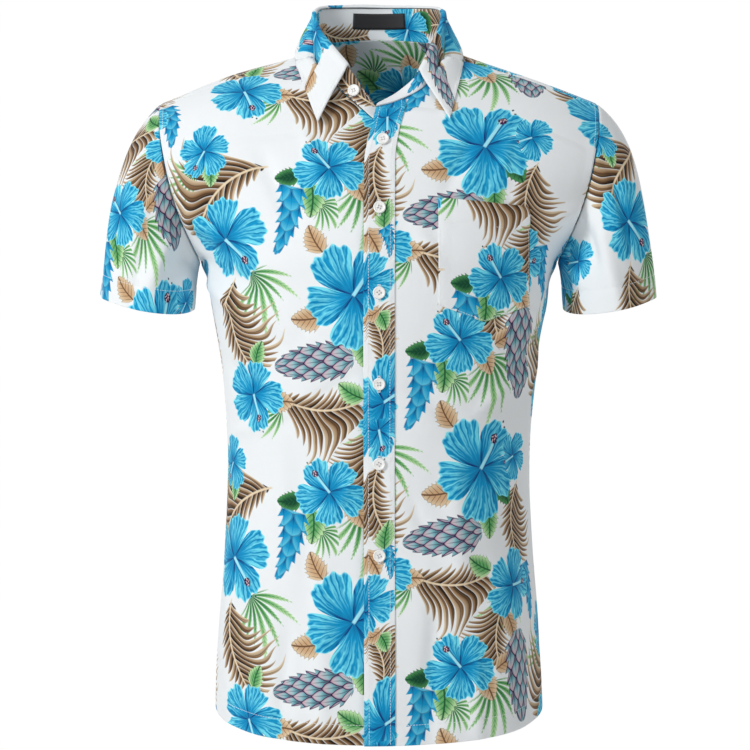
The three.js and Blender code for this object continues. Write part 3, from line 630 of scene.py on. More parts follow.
def band_places(counts, lengths):
    """Row places from hem to top, closer together at the two ends."""
    hem = [0, 0.8, 2, 5, 10, 15, 18, 19.2, 20, 20.8, 22, 25]
    first = np.array(hem) / lengths[0]
    places = [first[:-1], np.linspace(first[-1], 1, counts[0], endpoint=False)]
    for band in range(1, len(counts) - 1):
        places.append(np.linspace(band, band + 1, counts[band], endpoint=False))
    last = len(counts) - 1
    top = np.array(EDGE_STEPS)[::-1] / lengths[last]
    places.append(np.linspace(last, last + 1 - top[0], counts[last]))
    places.append(last + 1 - top[1:])
    return np.concatenate([*places, [last + 1]])


def flat_from(grid):
    """Flat places of a grid whose rows run out from a straight edge and whose columns run up."""
    far = edge_distances(grid)
    return np.stack([far["start"], far["first"]], axis=-1)


def hang(cloth, face):
    """Gives a body panel its creases and waves, still at the seams and free at the hem."""
    still = np.minimum(cloth.far["end"], cloth.far["last"])
    if face > 0:
        still = np.minimum(still, cloth.far["start"])
    held = smoothstep(0, CREASE_HOLD, still)
    x, z = cloth.grid[..., 0], cloth.grid[..., 2]
    cloth.lift((crease_height(CREASES, face, x, z) * CREASE_DEPTH + waved(cloth.grid)) * held)


def front_flat(grid, side, level):
    """Flat places of a front: its print stands upright as seen, level along rows and up along columns."""
    across, up = np.diff(grid, axis=1), np.diff(grid, axis=0)
    across = np.cumsum(np.hypot(across[..., 0], across[..., 1]), axis=1)
    across = np.concatenate([np.zeros((len(grid), 1)), across], axis=1)
    up = np.cumsum(np.hypot(up[..., 1], up[..., 2]) * np.sign(up[..., 2]), axis=0)
    up = np.concatenate([np.zeros((1, grid.shape[1])), up])
    return np.stack([grid[:, :1, 0] + side * across, up - up[level]], axis=-1)


def front_cloth(side):
    rows = []
    for place in band_places(FRONT_BANDS, BAND_LENGTHS):
        row = folded(front_row(side, place), -1, place > 1)
        rows.append(spaced(row, FRONT_ACROSS, EDGE_STEPS, EDGE_STEPS))
    grid = np.stack(rows)
    name = "front_left" if side > 0 else "front_right"
    flat = front_flat(grid, side, FRONT_BANDS[0])
    cloth = Cloth(name, grid, flat, TORSO_CENTRE, seams=("end", "last"), hem="first")
    hang(cloth, -1)
    cloth.sew()
    return cloth


def back_cloth():
    rows = []
    for place in band_places(BACK_BANDS, BAND_LENGTHS[:2]):
        row = whole_row(back_half_row(place))
        if place < len(BACK_BANDS):
            row = folded(row, 1, place > 1)
        rows.append(spaced(row, BACK_ACROSS, EDGE_STEPS, EDGE_STEPS))
    grid = np.stack(rows)
    flat = flat_from(grid)
    flat[..., 0] -= flat[:, -1:, 0] / 2
    cloth = Cloth("back", grid, flat, TORSO_CENTRE, seams=("start", "end", "last"), hem="first")
    hang(cloth, 1)
    cloth.sew()
    return cloth


def yoke_outer(t, seam_row):
    """The yoke's outer line, keyed from the shoulder seam (0) to centre back (1)."""
    shoulder, corner = armhole_shares[[ARMHOLE_SHOULDER_ROW, ARMHOLE_YOKE_ROW]]
    if t < YOKE_CORNER:
        return armhole(mix(shoulder, corner, t / YOKE_CORNER))
    lengths = arc_lengths(seam_row)
    wanted = lengths[-1] * (1 - t) / (1 - YOKE_CORNER)
    return np.array([np.interp(wanted, lengths, seam_row[:, k]) for k in range(3)])


def unrolled(grid):
    """Flat places of a fan of lines, each laid beside the last as it lies beside it on the cloth."""
    lengths = np.linalg.norm(np.diff(grid, axis=1), axis=-1)
    along = np.concatenate([np.zeros((len(grid), 1)), np.cumsum(lengths, axis=1)], axis=1)
    near_step, far_step = np.diff(grid[:, 0], axis=0), np.diff(grid[:, -1], axis=0)
    near_way = unit(grid[:-1, len(EDGE_STEPS)] - grid[:-1, 0])
    far_way = unit(grid[:-1, -1] - grid[:-1, -1 - len(EDGE_STEPS)])
    slip = np.sum(near_step * near_way, axis=-1)
    near = np.linalg.norm(near_step - slip[:, None] * near_way, axis=-1)
    far = np.linalg.norm(far_step - np.sum(far_step * far_way, axis=-1)[:, None] * far_way, axis=-1)
    turns = math.pi - np.concatenate([[0], np.cumsum((far - near) / along[1:, -1])])
    between = (turns[1:] + turns[:-1]) / 2
    cos, sin = np.cos(between), np.sin(between)
    moves = np.stack([slip * cos + near * sin, slip * sin - near * cos], axis=-1)
    starts = np.concatenate([[(0, 0)], np.cumsum(moves, axis=0)])
    ways = np.stack([np.cos(turns), np.sin(turns)], axis=-1)
    return starts[:, None] + along[..., None] * ways[:, None]


def yoke_cloth():
    seam_row = back_half_row(len(BACK_BANDS))
    turns = np.concatenate([[0, 0.004, 0.009, 0.016, 0.027], np.linspace(0.045, 1, YOKE_ROUND // 2)])
    s = np.linspace(0, 1, ROW_SAMPLES + 1)[:, None]
    columns = []
    for t in turns:
        neck = neck_lines(mix(NECK_SHOULDER_SHARE, 0, t))[0]
        at_back = smoothstep(0.25, 1, t)
        lift = mix(SHOULDER_UP, YOKE_BACK_UP, at_back) * mix(SHOULDER_RISE, YOKE_BACK_RISE, at_back)
        column = mix(neck, yoke_outer(t, seam_row), s) + lift * 4 * s * (1 - s)
        columns.append(spaced(column, YOKE_OUT, EDGE_STEPS, EDGE_STEPS))
    left = np.stack(columns)
    grid = np.concatenate([mirrored(left), left[-2::-1]])
    flat = unrolled(grid)
    cloth = Cloth("yoke", grid, flat, YOKE_CENTRE, seams=("first", "last", "end"))
    still = np.minimum(np.minimum(cloth.far["first"], cloth.far["last"]), cloth.far["end"])
    held = smoothstep(0, CREASE_HOLD, np.minimum(still, cloth.far["start"]))
    cloth.lift(waved(cloth.grid) * held)
    cloth.sew()
    return cloth


def sleeve_column(share):
    """The cloth's way from the armhole to the opening, at a share round from the underarm."""
    start = armhole(share)
    top_z = ARMHOLE[ARMHOLE_SHOULDER_ROW + 1][2]
    height = (start[2] - UNDERARM_Z) / (top_z - UNDERARM_Z)
    way = {key: mix(SLEEVE_UNDERARM[key], SLEEVE_TOP[key], height) for key in SLEEVE_TOP}
    angle = 2 * math.pi * share
    round_x, round_y = -math.cos(angle), -math.sin(angle)
    end = np.array([
        CUFF["x"] + CUFF["half_width"] * round_x,
        CUFF["half_depth"] * round_y,
        CUFF["z"] + CUFF["outer_rise"] * round_x + CUFF["front_drop"] * round_y,
    ])
    spread = SLEEVE_SPREAD * math.sin(math.pi * height) * np.sign(start[1])
    leave = unit(np.array([way["out"], spread, -way["down"]])) * way["leave"]
    arrive = SLEEVE_FALL * way["arrive"]
    s = np.linspace(0, 1, ROW_SAMPLES + 1)[:, None]
    return (
        start * (2 * s**3 - 3 * s**2 + 1) + leave * (s**3 - 2 * s**2 + s)
        + end * (3 * s**2 - 2 * s**3) + arrive * (s**3 - s**2)
    )


def sleeve_crease_height(side, share, down):
    height = np.zeros_like(share)
    for row_side, share_0, down_0, share_1, down_1, half_width, rise in SLEEVE_CREASES:
        if row_side != side:
            continue
        along = (down - down_0) / (down_1 - down_0)
        aside = (share - mix(share_0, share_1, along) + 0.5) % 1 - 0.5
        ends = smoothstep(-0.1, 0.35, along) * (1 - smoothstep(0.75, 1.2, along))
        height += rise * ends * np.exp(-((aside / half_width) ** 2))
    return height


def sleeve_cloth(side):
    shares = np.concatenate([
        [0, 0.0018, 0.004, 0.008, 0.015],
        np.linspace(0.024, 0.976, SLEEVE_ROUND),
        [0.985, 0.992, 0.996, 0.9982, 1],
    ])
    hem_steps = (0.8, 2, 6, 12, 18, 22, 23.2, 24, 24.8, 26, 29)
    columns = [spaced(sleeve_column(share), SLEEVE_DOWN, EDGE_STEPS, hem_steps) for share in shares]
    grid = np.stack(columns, axis=1)
    if side < 0:
        grid = mirrored(grid)
    far = edge_distances(grid)
    share_grid = np.broadcast_to(shares, grid.shape[:2])
    flat = np.stack([side * (share_grid - 0.5) * SLEEVE_FLAT_ROUND, far["last"]], axis=-1)
    name = "sleeve_left" if side > 0 else "sleeve_right"
    centre = (side * CUFF["x"], 0, YOKE_CENTRE[2])
    cloth = Cloth(name, grid, flat, centre, seams=("start", "end", "first"), hem="last",
                  hem_depth=SLEEVE_HEM_DEPTH)
    down = far["first"] / (far["first"] + far["last"])
    held = smoothstep(0, CREASE_HOLD, far["first"])
    held = held * smoothstep(0, CREASE_HOLD, np.minimum(far["start"], far["end"]))
    cloth.lift((sleeve_crease_height(side, share_grid, down) * CREASE_DEPTH + waved(grid)) * held)
    cloth.sew()
    return cloth


class Ground:
    """The outer skin of a finished piece, to lay other pieces on, as seen from the front."""

    def __init__(self, cloth, lift=0.0):
        rows, columns = cloth.grid.shape[:2]
        faces, _ = shell_faces(rows, columns, False)
        skin = faces[: (rows - 1) * (columns - 1)]
        points = (cloth.grid + cloth.away * lift).reshape(-1, 3)
        self.tree = BVHTree.FromPolygons(points.tolist(), skin.tolist())

    def find(self, x, z):
        """Place and outward direction straight behind a spot seen from the front."""
        start = Vector((x, -400, z))
        at, normal, _, _ = self.tree.ray_cast(start, Vector((0, 1, 0)))
        if at is None:
            guess, _, _, _ = self.tree.find_nearest(Vector((x, -100, z)))
            at, normal, _, _ = self.tree.find_nearest(Vector((x, guess.y, z)))
        normal = np.array(normal)
        return np.array(at), normal * (1 if normal[1] < 0 else -1)

    def lay(self, x, z, lift):
        at, normal = self.find(x, z)
        return at + normal * lift


LAID_AIR = 0.25
PLACKET_THICK = 0.9
PLACKET_TOP_GAP = 1.2
SEARCH_STEP = 0.002


def placket_cloth(ground):
    inner_top = read(PLACKET_EDGES, PLACKET_TOP_Z)[0]

    def neck_z(x):
        share = LEAF_FRONT_SHARE
        while neck_lines(share)[0][0] > max(x, inner_top):
            share += SEARCH_STEP
        return neck_lines(share)[0][2] - PLACKET_TOP_GAP

    width = PLACKET_EDGES[0][2] - PLACKET_EDGES[0][1]
    inset = [distance / width for distance in (0, *EDGE_STEPS[:3])]
    across = np.concatenate([inset, np.linspace(0.15, 0.85, PLACKET_ACROSS), 1 - np.array(inset)[::-1]])
    down = np.concatenate([[0, 0.001, 0.0024], np.linspace(0.005, 1, PLACKET_DOWN)])
    tops = [neck_z(mix(*read(PLACKET_EDGES, PLACKET_TOP_Z), share) + PLACKET_TOP_GAP * (1 - share))
            for share in across]
    grid = np.array([[
        ground.lay(mix(*read(PLACKET_EDGES, mix(top, HEM_CENTRE_Z, part)), share),
                   mix(top, HEM_CENTRE_Z, part), LAID_AIR)
        for share, top in zip(across, tops)] for part in down])
    far = edge_distances(grid)
    flat = np.stack([far["start"], -far["first"]], axis=-1)
    cloth = Cloth("placket", grid, flat, TORSO_CENTRE, seams=("start", "end"))
    cloth.lift(PLACKET_PUFF * smoothstep(0, 5, cloth.seam_far))
    return cloth


PLACKET_PUFF = 0.5
POCKET_PUFF = 0.5
POCKET_HEM_DEPTH = 24


def pocket_cloth(ground):
    width = POCKET["outer"] - POCKET["inner"]
    inset = [distance / width for distance in (0, *EDGE_STEPS)]
    across = np.concatenate([inset, np.linspace(0.1, 0.9, POCKET_ACROSS), 1 - np.array(inset)[::-1]])
    down = np.concatenate([[0, 0.006, 0.014, 0.03], np.linspace(0.05, 0.95, POCKET_DOWN),
                           [0.97, 0.985, 0.994, 1]])
    rows = []
    for part in down:
        row = []
        for share in across:
            top = mix(POCKET["top_inner"], POCKET["top_outer"], share)
            bottom = mix(POCKET["side"], POCKET["point"], 1 - abs(2 * share - 1))
            slack = POCKET["slack"] * math.sin(math.pi * share) * (1 - part) ** 2
            x = mix(POCKET["inner"], POCKET["outer"], share)
            row.append(ground.lay(x, mix(top, bottom, part), LAID_AIR + slack))
        rows.append(row)
    grid = np.array(rows)
    far = edge_distances(grid)
    flat = np.stack([far["start"], -far["first"]], axis=-1)
    cloth = Cloth("pocket", grid, flat, TORSO_CENTRE, seams=("start", "end", "last"), hem="first",
                  hem_depth=POCKET_HEM_DEPTH)
    cloth.lift(POCKET_PUFF * smoothstep(0, 6, cloth.seam_far))
    return cloth


def neck_places(right_end, left_end, count):
    return np.linspace(-right_end, left_end, count + 1)


STAND_THICK = 1.2
STAND_FOOT = 0.2


def stand_cloth():
    rows = []
    places = neck_places(NECK_RIGHT_FRONT[-1][0], NECK_LEFT_FRONT[-1][0], NECK_ROUND)
    for place in places:
        seam, top, _ = neck_lines(place)
        foot = seam + np.array([0, 0, STAND_FOOT])
        rows.append(spaced(np.stack([foot, top]), STAND_UP, EDGE_STEPS[:3], EDGE_STEPS[:2]))
    grid = np.stack(rows)
    far = edge_distances(grid)
    middle = far["first"][:, :1] - far["first"][-1:, :1] / 2
    flat = np.stack([middle + 0 * far["start"], far["start"]], axis=-1)
    return Cloth("collar_stand", grid, flat, NECK_CENTRE)


LEAF_THICK = 1.1
LEAF_AIR = 0.7
SHARE_STEP = 0.02
LEAF_ON_FRONT_SHARE = 0.68

# The leaf's way from the stand's top over its roll and down to its edge
# columns: share of the way down, out of the stand, up
LEAF_ROLL = [(0, 0.0, 0.6), (0, 0.9, 2.0), (0, 2.4, 2.2), (0, 3.6, 0.9), (0.10, 2.0, 0.4), (0.3, 1.8, 0),
             (0.65, 1.5, 0), (1, 0, 0)]


def smooth_line(points, per_step):
    """A Catmull-Rom line through points."""
    rows = [(k, *p) for k, p in enumerate(points)]
    keys = np.linspace(0, len(rows) - 1, (len(rows) - 1) * per_step + 1)
    return np.array([read(rows, key) for key in keys])


def leaf_cloth(grounds):
    rows = []
    for place in neck_places(LEAF_FRONT_SHARE, LEAF_FRONT_SHARE, NECK_ROUND):
        seam, top, edge = neck_lines(place)
        along = neck_lines(place + SHARE_STEP)[0] - neck_lines(place - SHARE_STEP)[0]
        up = unit(top - seam)
        out = unit(np.cross(up, along))
        way = [mix(top, edge, share) + out * outward + up * upward for share, outward, upward in LEAF_ROLL]
        column = spaced(smooth_line(way, 4), LEAF_DOWN, (), EDGE_STEPS[:4])
        if abs(place) > LEAF_ON_FRONT_SHARE:
            ground = grounds["right" if place < 0 else "left"]
            for k in range(LEAF_DOWN // 4, len(column)):
                laid = ground.lay(column[k][0], column[k][2], LEAF_AIR)
                if column[k][1] > laid[1]:
                    column[k] = laid
        rows.append(column)
    grid = np.stack(rows)
    far = edge_distances(grid)
    middle = far["first"][:, :1] - far["first"][-1:, :1] / 2
    flat = np.stack([middle + 0 * far["start"], -far["start"]], axis=-1)
    cloth = Cloth("collar_leaf", grid, flat, NECK_CENTRE, seams=("first", "last", "end"))
    cloth.lift(LEAF_PUFF * smoothstep(0, 5, cloth.seam_far) + waved(grid * 2) * LEAF_WAVE)
    return cloth


LEAF_PUFF = 0.5
LEAF_WAVE = 0.5


def label_cloth():
    rows = []
    for x in np.linspace(-LABEL["half_width"], LABEL["half_width"], 25):
        share = 0
        while neck_lines(share)[0][0] < abs(x):
            share += SEARCH_STEP
        seam, top, _ = neck_lines(-share if x < 0 else share)
        inside = unit(np.array([-seam[0], LABEL["aim_y"] - seam[1], 0]))
        rows.append([mix(seam, top, (z - seam[2]) / (top[2] - seam[2])) + inside * LABEL["air"]
                     for z in np.linspace(LABEL["low"], LABEL["high"], 8)])
    grid = np.array(rows)
    far = edge_distances(grid)
    flat = np.stack([far["first"], far["start"]], axis=-1)
    return Cloth("neck_label", grid, flat, NECK_CENTRE)


# Thread: each stitch is a small raised grain lying along its seam
STITCH_PITCH = 3.0
STITCH_LENGTH = 2.3
STITCH_WIDTH_HALF = 0.24
STITCH_HEIGHT = 0.3
TOPSTITCH = 5


def line_in(cloth, edge, distance, low=0.0, high=1.0):
    """Points and outward directions on a cloth's skin at a distance from one of its edges."""
    far = cloth.far[edge]
    along_rows = edge in ("start", "end")
    grid, away = cloth.grid, cloth.away
    if not along_rows:
        far, grid, away = far.T, grid.transpose(1, 0, 2), away.transpose(1, 0, 2)
    count = len(far)
    picked = range(int(low * (count - 1)), int(math.ceil(high * (count - 1))) + 1)
    points, ways = [], []
    for k in picked:
        order = np.argsort(far[k])
        points.append([np.interp(distance, far[k][order], grid[k][order, axis]) for axis in range(3)])
        ways.append([np.interp(distance, far[k][order], away[k][order, axis]) for axis in range(3)])
    return np.array(points), unit(np.array(ways))


def grain(at, along, away, length, half_width, height):
    """Points of one thread grain: a low, long capsule with tips sunk into the cloth."""
    across = np.cross(away, along)
    ring = [(1, 0), (0.7, 0.75), (0, 1), (-0.7, 0.75), (-1, 0)]
    stations = [(-0.5, 0.25), (-0.32, 1), (0.32, 1), (0.5, 0.25)]
    return [at + along * length * s + across * half_width * w * size + away * height * h * size
            for s, size in stations for w, h in ring]


GRAIN_RING = 5
GRAIN_STATIONS = 4


def grain_faces(offset):
    faces = []
    for station in range(GRAIN_STATIONS - 1):
        for k in range(GRAIN_RING):
            following = (k + 1) % GRAIN_RING
            a = offset + station * GRAIN_RING
            b = a + GRAIN_RING
            faces.append((a + k, a + following, b + following, b + k))
    faces.append(tuple(offset + k for k in range(GRAIN_RING))[::-1])
    last = offset + (GRAIN_STATIONS - 1) * GRAIN_RING
    faces.append(tuple(last + k for k in range(GRAIN_RING)))
    return faces


class Thread:
    """All the stitches of one piece, as one mesh."""

    def __init__(self):
        self.points = []
        self.faces = []

    def add(self, at, along, away, length=STITCH_LENGTH, half_width=STITCH_WIDTH_HALF, height=STITCH_HEIGHT):
        self.faces += grain_faces(len(self.points))
        self.points += grain(at, along, away, length, half_width, height)

    def run(self, points, ways, sunk=0.05):
        """Stitches along a line on the cloth, at an even pitch."""
        lengths = arc_lengths(points)
        count = int(lengths[-1] / STITCH_PITCH)
        for k in range(count):
            middle = (k + 0.5) * STITCH_PITCH
            ends = [middle - STITCH_LENGTH / 2, middle + STITCH_LENGTH / 2]
            at, tip = (np.array([np.interp(e, lengths, points[:, axis]) for axis in range(3)]) for e in ends)
            away = unit(np.array([np.interp(middle, lengths, ways[:, axis]) for axis in range(3)]))
            along = unit(tip - at)
            self.add((at + tip) / 2 - away * sunk, along, away)

    def object(self, name):
        return mesh_object(name, self.points, self.faces)


def stitch_runs(cloths):
    """Where the topstitching lies. columns: piece, edge, distance in, first and last share, lift"""
    laid = PLACKET_THICK
    return [
        ("placket", "start", TOPSTITCH, 0.0, 1.0, laid),
        ("placket", "end", TOPSTITCH, 0.0, 1.0, laid),
        ("front_right", "first", HEM_DEPTH, 0.0, 1.0, 0),
        ("front_left", "first", HEM_DEPTH, 0.10, 1.0, 0),
        ("back", "first", HEM_DEPTH, 0.0, 1.0, 0),
        ("front_right", "end", TOPSTITCH, 0.66, 1.0, 0),
        ("front_left", "end", TOPSTITCH, 0.66, 1.0, 0),
        ("yoke", "first", TOPSTITCH, 0.0, 1.0, 0),
        ("yoke", "last", TOPSTITCH, 0.0, 1.0, 0),
        ("yoke", "end", TOPSTITCH, 0.0, 1.0, 0),
        ("back", "start", TOPSTITCH, 0.76, 1.0, 0),
        ("back", "end", TOPSTITCH, 0.76, 1.0, 0),
        ("sleeve_right", "last", SLEEVE_HEM_DEPTH, 0.0, 1.0, 0),
        ("sleeve_left", "last", SLEEVE_HEM_DEPTH, 0.0, 1.0, 0),
        ("collar_leaf", "first", TOPSTITCH, 0.3, 1.0, LEAF_THICK),
        ("collar_leaf", "last", TOPSTITCH, 0.3, 1.0, LEAF_THICK),
        ("collar_leaf", "end", TOPSTITCH, 0.0, 1.0, LEAF_THICK),
        ("collar_stand", "start", 1.5, 0.0, 1.0, STAND_THICK),
        ("collar_stand", "end", 1.8, 0.0, 0.12, STAND_THICK),
        ("pocket", "start", 1.6, 0.0, 1.0, CLOTH_THICK),
        ("pocket", "end", 1.6, 0.0, 1.0, CLOTH_THICK),
        ("pocket", "last", 1.6, 0.0, 1.0, CLOTH_THICK),
        ("pocket", "first", POCKET_HEM_DEPTH, 0.0, 1.0, CLOTH_THICK),
    ]


def sewing(cloths):
    thread = Thread()
    for name, edge, distance, low, high, lift in stitch_runs(cloths):
        points, ways = line_in(cloths[name], edge, distance, low, high)
        thread.run(points + ways * lift, ways)
    pocket_tacks(thread, cloths["pocket"])
    return thread.object("topstitching")


TACK_HEIGHT = 7
TACK_WIDTH = 4
TACK_LINES = 6


def pocket_tacks(thread, pocket):
    """A small triangle of close stitches at each of the pocket's top corners."""
    for edge in ("start", "end"):
        for line in range(TACK_LINES):
            distance = mix(1.6, TACK_WIDTH, line / (TACK_LINES - 1))
            points, ways = line_in(pocket, edge, distance, 0, 0.4)
            lengths = arc_lengths(points)
            middle = TACK_HEIGHT * (1 - line / TACK_LINES) / 2 + 1
            at = np.array([np.interp(middle, lengths, points[:, axis]) for axis in range(3)])
            along = unit(points[2] - points[0])
            thread.add(at + ways[1] * CLOTH_THICK, along, ways[1], length=2 * middle)


BUTTONHOLE_HALF = 8.2
BUTTONHOLE_GAP = 0.55
BAR_PITCH = 0.62


def buttonholes(ground, places):
    """Close cross stitches on both sides of each slit, and a bar at its two ends."""
    thread = Thread()
    for x, z in places:
        at, away = ground.find(x, z)
        down = unit(np.cross(away, np.array([1.0, 0, 0])))
        across = np.cross(down, away)
        for step in np.arange(-BUTTONHOLE_HALF, BUTTONHOLE_HALF, BAR_PITCH):
            spot, way = ground.find(x, z + step)
            ends = abs(step) > BUTTONHOLE_HALF - 2 * BAR_PITCH
            offsets = (0.0,) if ends else (-BUTTONHOLE_GAP - 0.55, BUTTONHOLE_GAP + 0.55)
            for offset in offsets:
                length = 3.4 if ends else 1.3
                thread.add(spot + across * offset - way * 0.05, across, way, length, 0.3, 0.32)
    return thread.object("buttonholes")


# Buttons: a turned disc with four holes and crossed thread
# columns: radius, height
BUTTON_PROFILE = [(0, 0), (5.2, 0), (6.0, 0.3), (6.3, 0.9), (6.25, 1.6), (5.95, 2.15), (5.5, 2.4), (5.0, 2.35),
                  (4.5, 2.05), (4.0, 1.85), (3.0, 1.78), (0, 1.75)]
BUTTON_ROUND = 56
HOLE_OFF = 1.25
HOLE_RADIUS = 0.85
BUTTON_SHARP = math.radians(40)


def lathe(name, profile, count):
    points, faces = [], []
    for r, h in profile[1:-1]:
        for k in range(count):
            angle = 2 * math.pi * k / count
            points.append((r * math.cos(angle), r * math.sin(angle), h))
    for ring in range(len(profile) - 3):
        for k in range(count):
            following = (k + 1) % count
            a, b = ring * count, (ring + 1) * count
            faces.append((a + k, a + following, b + following, b + k))
    foot, face = len(points), len(points) + 1
    points += [(0, 0, profile[0][1]), (0, 0, profile[-1][1])]
    last = (len(profile) - 3) * count
    for k in range(count):
        following = (k + 1) % count
        faces.append((following, k, foot))
        faces.append((last + k, last + following, face))
    return mesh_object(name, points, faces)


def button_mesh():
    """One button, drilled with four holes."""
    disc = lathe("button_disc", BUTTON_PROFILE, BUTTON_ROUND)
    drills = []
    for x in (-HOLE_OFF, HOLE_OFF):
        for y in (-HOLE_OFF, HOLE_OFF):
            bpy.ops.mesh.primitive_cylinder_add(vertices=20, radius=HOLE_RADIUS * MM, depth=8 * MM,
                                                location=(x * MM, y * MM, 0))
            drills.append(bpy.context.object)
    for drill in drills:
        cut = disc.modifiers.new("hole", "BOOLEAN")
        cut.object = drill
        cut.operation = "DIFFERENCE"
        cut.solver = "EXACT"
    depsgraph = bpy.context.evaluated_depsgraph_get()
    mesh = bpy.data.meshes.new_from_object(disc.evaluated_get(depsgraph))
    mesh.name = "button"
    mesh.set_sharp_from_angle(angle=BUTTON_SHARP)
    for piece in [disc, *drills]:
        bpy.data.objects.remove(piece)
    return mesh


THREAD_RADIUS = 0.16


def button_thread():
    """Two pairs of strands between the holes, and the shank under the button."""
    thread = Thread()
    up = np.array([0.0, 0, 1])
    top = BUTTON_PROFILE[-1][1]
    for x in (-HOLE_OFF, HOLE_OFF):
        for nudge in (-THREAD_RADIUS, THREAD_RADIUS):
            thread.add(np.array([x + nudge, 0, top - 0.15]), np.array([0.0, 1, 0]), up,
                       2 * HOLE_OFF + 1.3, THREAD_RADIUS, 0.62)
    for x in (-HOLE_OFF, HOLE_OFF):
        for y in (-HOLE_OFF, HOLE_OFF):
            thread.add(np.array([x, y - 0.3, 0.2]), up, np.array([0.0, 1, 0]), 3.4, 0.6, 0.6)
    return thread.object("button_thread")


def place_on(obj, at, away, turn=0.0):
    """Sets a piece's foot at a place in millimetres, its own +Z along a direction, turned about it."""
    facing = Vector(away.tolist()).to_track_quat("Z", "Y")
    spin = Quaternion((0, 0, 1), turn)
    obj.rotation_mode = "QUATERNION"
    obj.rotation_quaternion = facing @ spin
    obj.location = Vector((at * MM).tolist())
    bpy.context.view_layer.update()


BUTTON_FOOT = 0.5
# How each button happens to be turned, from the top down, in degrees
BUTTON_TURNS = (12, -20, 38, 4, -33, 22)
STAND_BUTTON_TURN = 15


def buttons(placket_ground):
    """Six buttons on the placket and one on the stand, each with its thread."""
    mesh = button_mesh()
    thread_mesh = button_thread()
    spots = []
    for z in BUTTON_HEIGHTS:
        inner, outer = read(PLACKET_EDGES, z)
        spots.append(placket_ground.find((inner + outer) / 2, z))
    seam, top, _ = neck_lines(-STAND_BUTTON["share"])
    following = neck_lines(-STAND_BUTTON["share"] - SHARE_STEP)[0]
    way = unit(np.cross(following - seam, top - seam))
    way = way * (-1 if way[1] > 0 else 1)
    spots.append((mix(seam, top, STAND_BUTTON["up"]) + way * STAND_THICK, way))
    names = [f"button_{k + 1}" for k in range(len(BUTTON_HEIGHTS))] + ["button_stand"]
    made = []
    for name, (at, away), turn in zip(names, spots, (*BUTTON_TURNS, STAND_BUTTON_TURN)):
        disc = bpy.data.objects.new(f"shirt_{name}", mesh)
        cord = bpy.data.objects.new(f"shirt_{name}_thread", thread_mesh.data)
        for piece in (disc, cord):
            bpy.context.scene.collection.objects.link(piece)
            place_on(piece, at + away * BUTTON_FOOT, away, math.radians(turn))
            piece.data.update()
        made.append((name, disc, cord))
    bpy.data.objects.remove(thread_mesh)
    return made


def plain_material(name, colour, roughness, sheen=0.0):
    material = bpy.data.materials.new(name)
    material.use_nodes = True
    shader = material.node_tree.nodes["Principled BSDF"]
    shader.inputs["Base Color"].default_value = (*colour, 1)
    shader.inputs["Roughness"].default_value = roughness
    shader.inputs["Sheen Weight"].default_value = sheen
    return material


def paint(obj, material):
    obj.data.materials.clear()
    obj.data.materials.append(material)


# The printed cloth. Its motifs repeat on a tile, in millimetres on the flat cloth, x right and y up.
TILE_WIDTH = 271
TILE_HEIGHT = 328

# Flowers with five petals; the turn is where the stamen points
# columns: x, y, size, turn in degrees
FLOWERS = [
    (49, 55, 37, 129),
    (-63, -18, 48, -48),
    (74, -75, 54, 57),
    (-39, -178, 39, -70),
    (115, -196, 38, 4),
    (122, -66, 26, 200),
    (-80, 78, 29, 235),
]

# Hanging tails of petals, and cones of scales, by their middles
# columns: x, y, length, turn in degrees
TAILS = [
    (5, -1, 72, -104),
    (-118, 122, 60, -80),
]
CONES = [
    (32, -143, 82, 187),
    (122, 40, 92, -86),
]

# Fern leaves with blades along a stem; blades are longer on one side, which side as -1 or 1
# columns: x, y, length, turn in degrees, longer side
FERNS = [
    (36, -186, 84, 176, 1),
    (-60, -104, 84, 104, -1),
    (-62, 30, 104, 38, 1),
    (122, -128, 70, 86, -1),
    (92, -238, 64, 80, 1),
]

# Single leaves: 0 is tan, 0.5 light green and 1 dark green
# columns: x, y, length, turn in degrees, colour
LEAVES = [
    (34, -20, 31, 118, 0.0),
    (26, -100, 34, 186, 0.0),
    (78, 34, 32, -58, 0.0),
    (-4, -183, 32, 4, 0.0),
    (99, 57, 27, 24, 0.0),
    (108, -236, 28, -70, 0.0),
    (6, 44, 27, 186, 1.0),
    (33, 20, 36, -92, 0.5),
    (104, -97, 40, -52, 1.0),
    (84, -130, 34, -84, 0.5),
    (70, -173, 30, 150, 0.5),
    (-30, -134, 26, 70, 0.5),
    (-74, 52, 26, -88, 0.5),
]

# Sprays of narrow green blades, by the place they grow from
# columns: x, y, size, turn in degrees
SPRAYS = [
    (-38, -54, 74, -42),
    (79, 38, 78, -58),
    (98, 128, 58, -70),
    (-2, -190, 52, -150),
    (-92, 60, 46, 215),
    (40, 16, 44, -30),
]

# The button strip was cut elsewhere from the cloth and shows its own row of motifs
STRIP_HEIGHT = 322
STRIP_WIDTH = 400
STRIP_FLOWERS = [
    (-15, 52, 34, 129),
    (8, -72, 47, 10),
    (2, 224, 32, -80),
]
STRIP_TAILS = [(12, 86, 34, -80)]
STRIP_CONES = [(-160, 0, 60, 0)]
STRIP_FERNS = [(0, 158, 66, 92, 1), (2, -10, 56, -80, 1)]
STRIP_LEAVES = [(-4, 92, 30, -60, 0.0), (8, 116, 28, 80, 0.5), (7, 10, 22, -70, 0.5), (-6, 18, 20, 200, 0.0)]
STRIP_SPRAYS = [(-150, 100, 40, 0)]

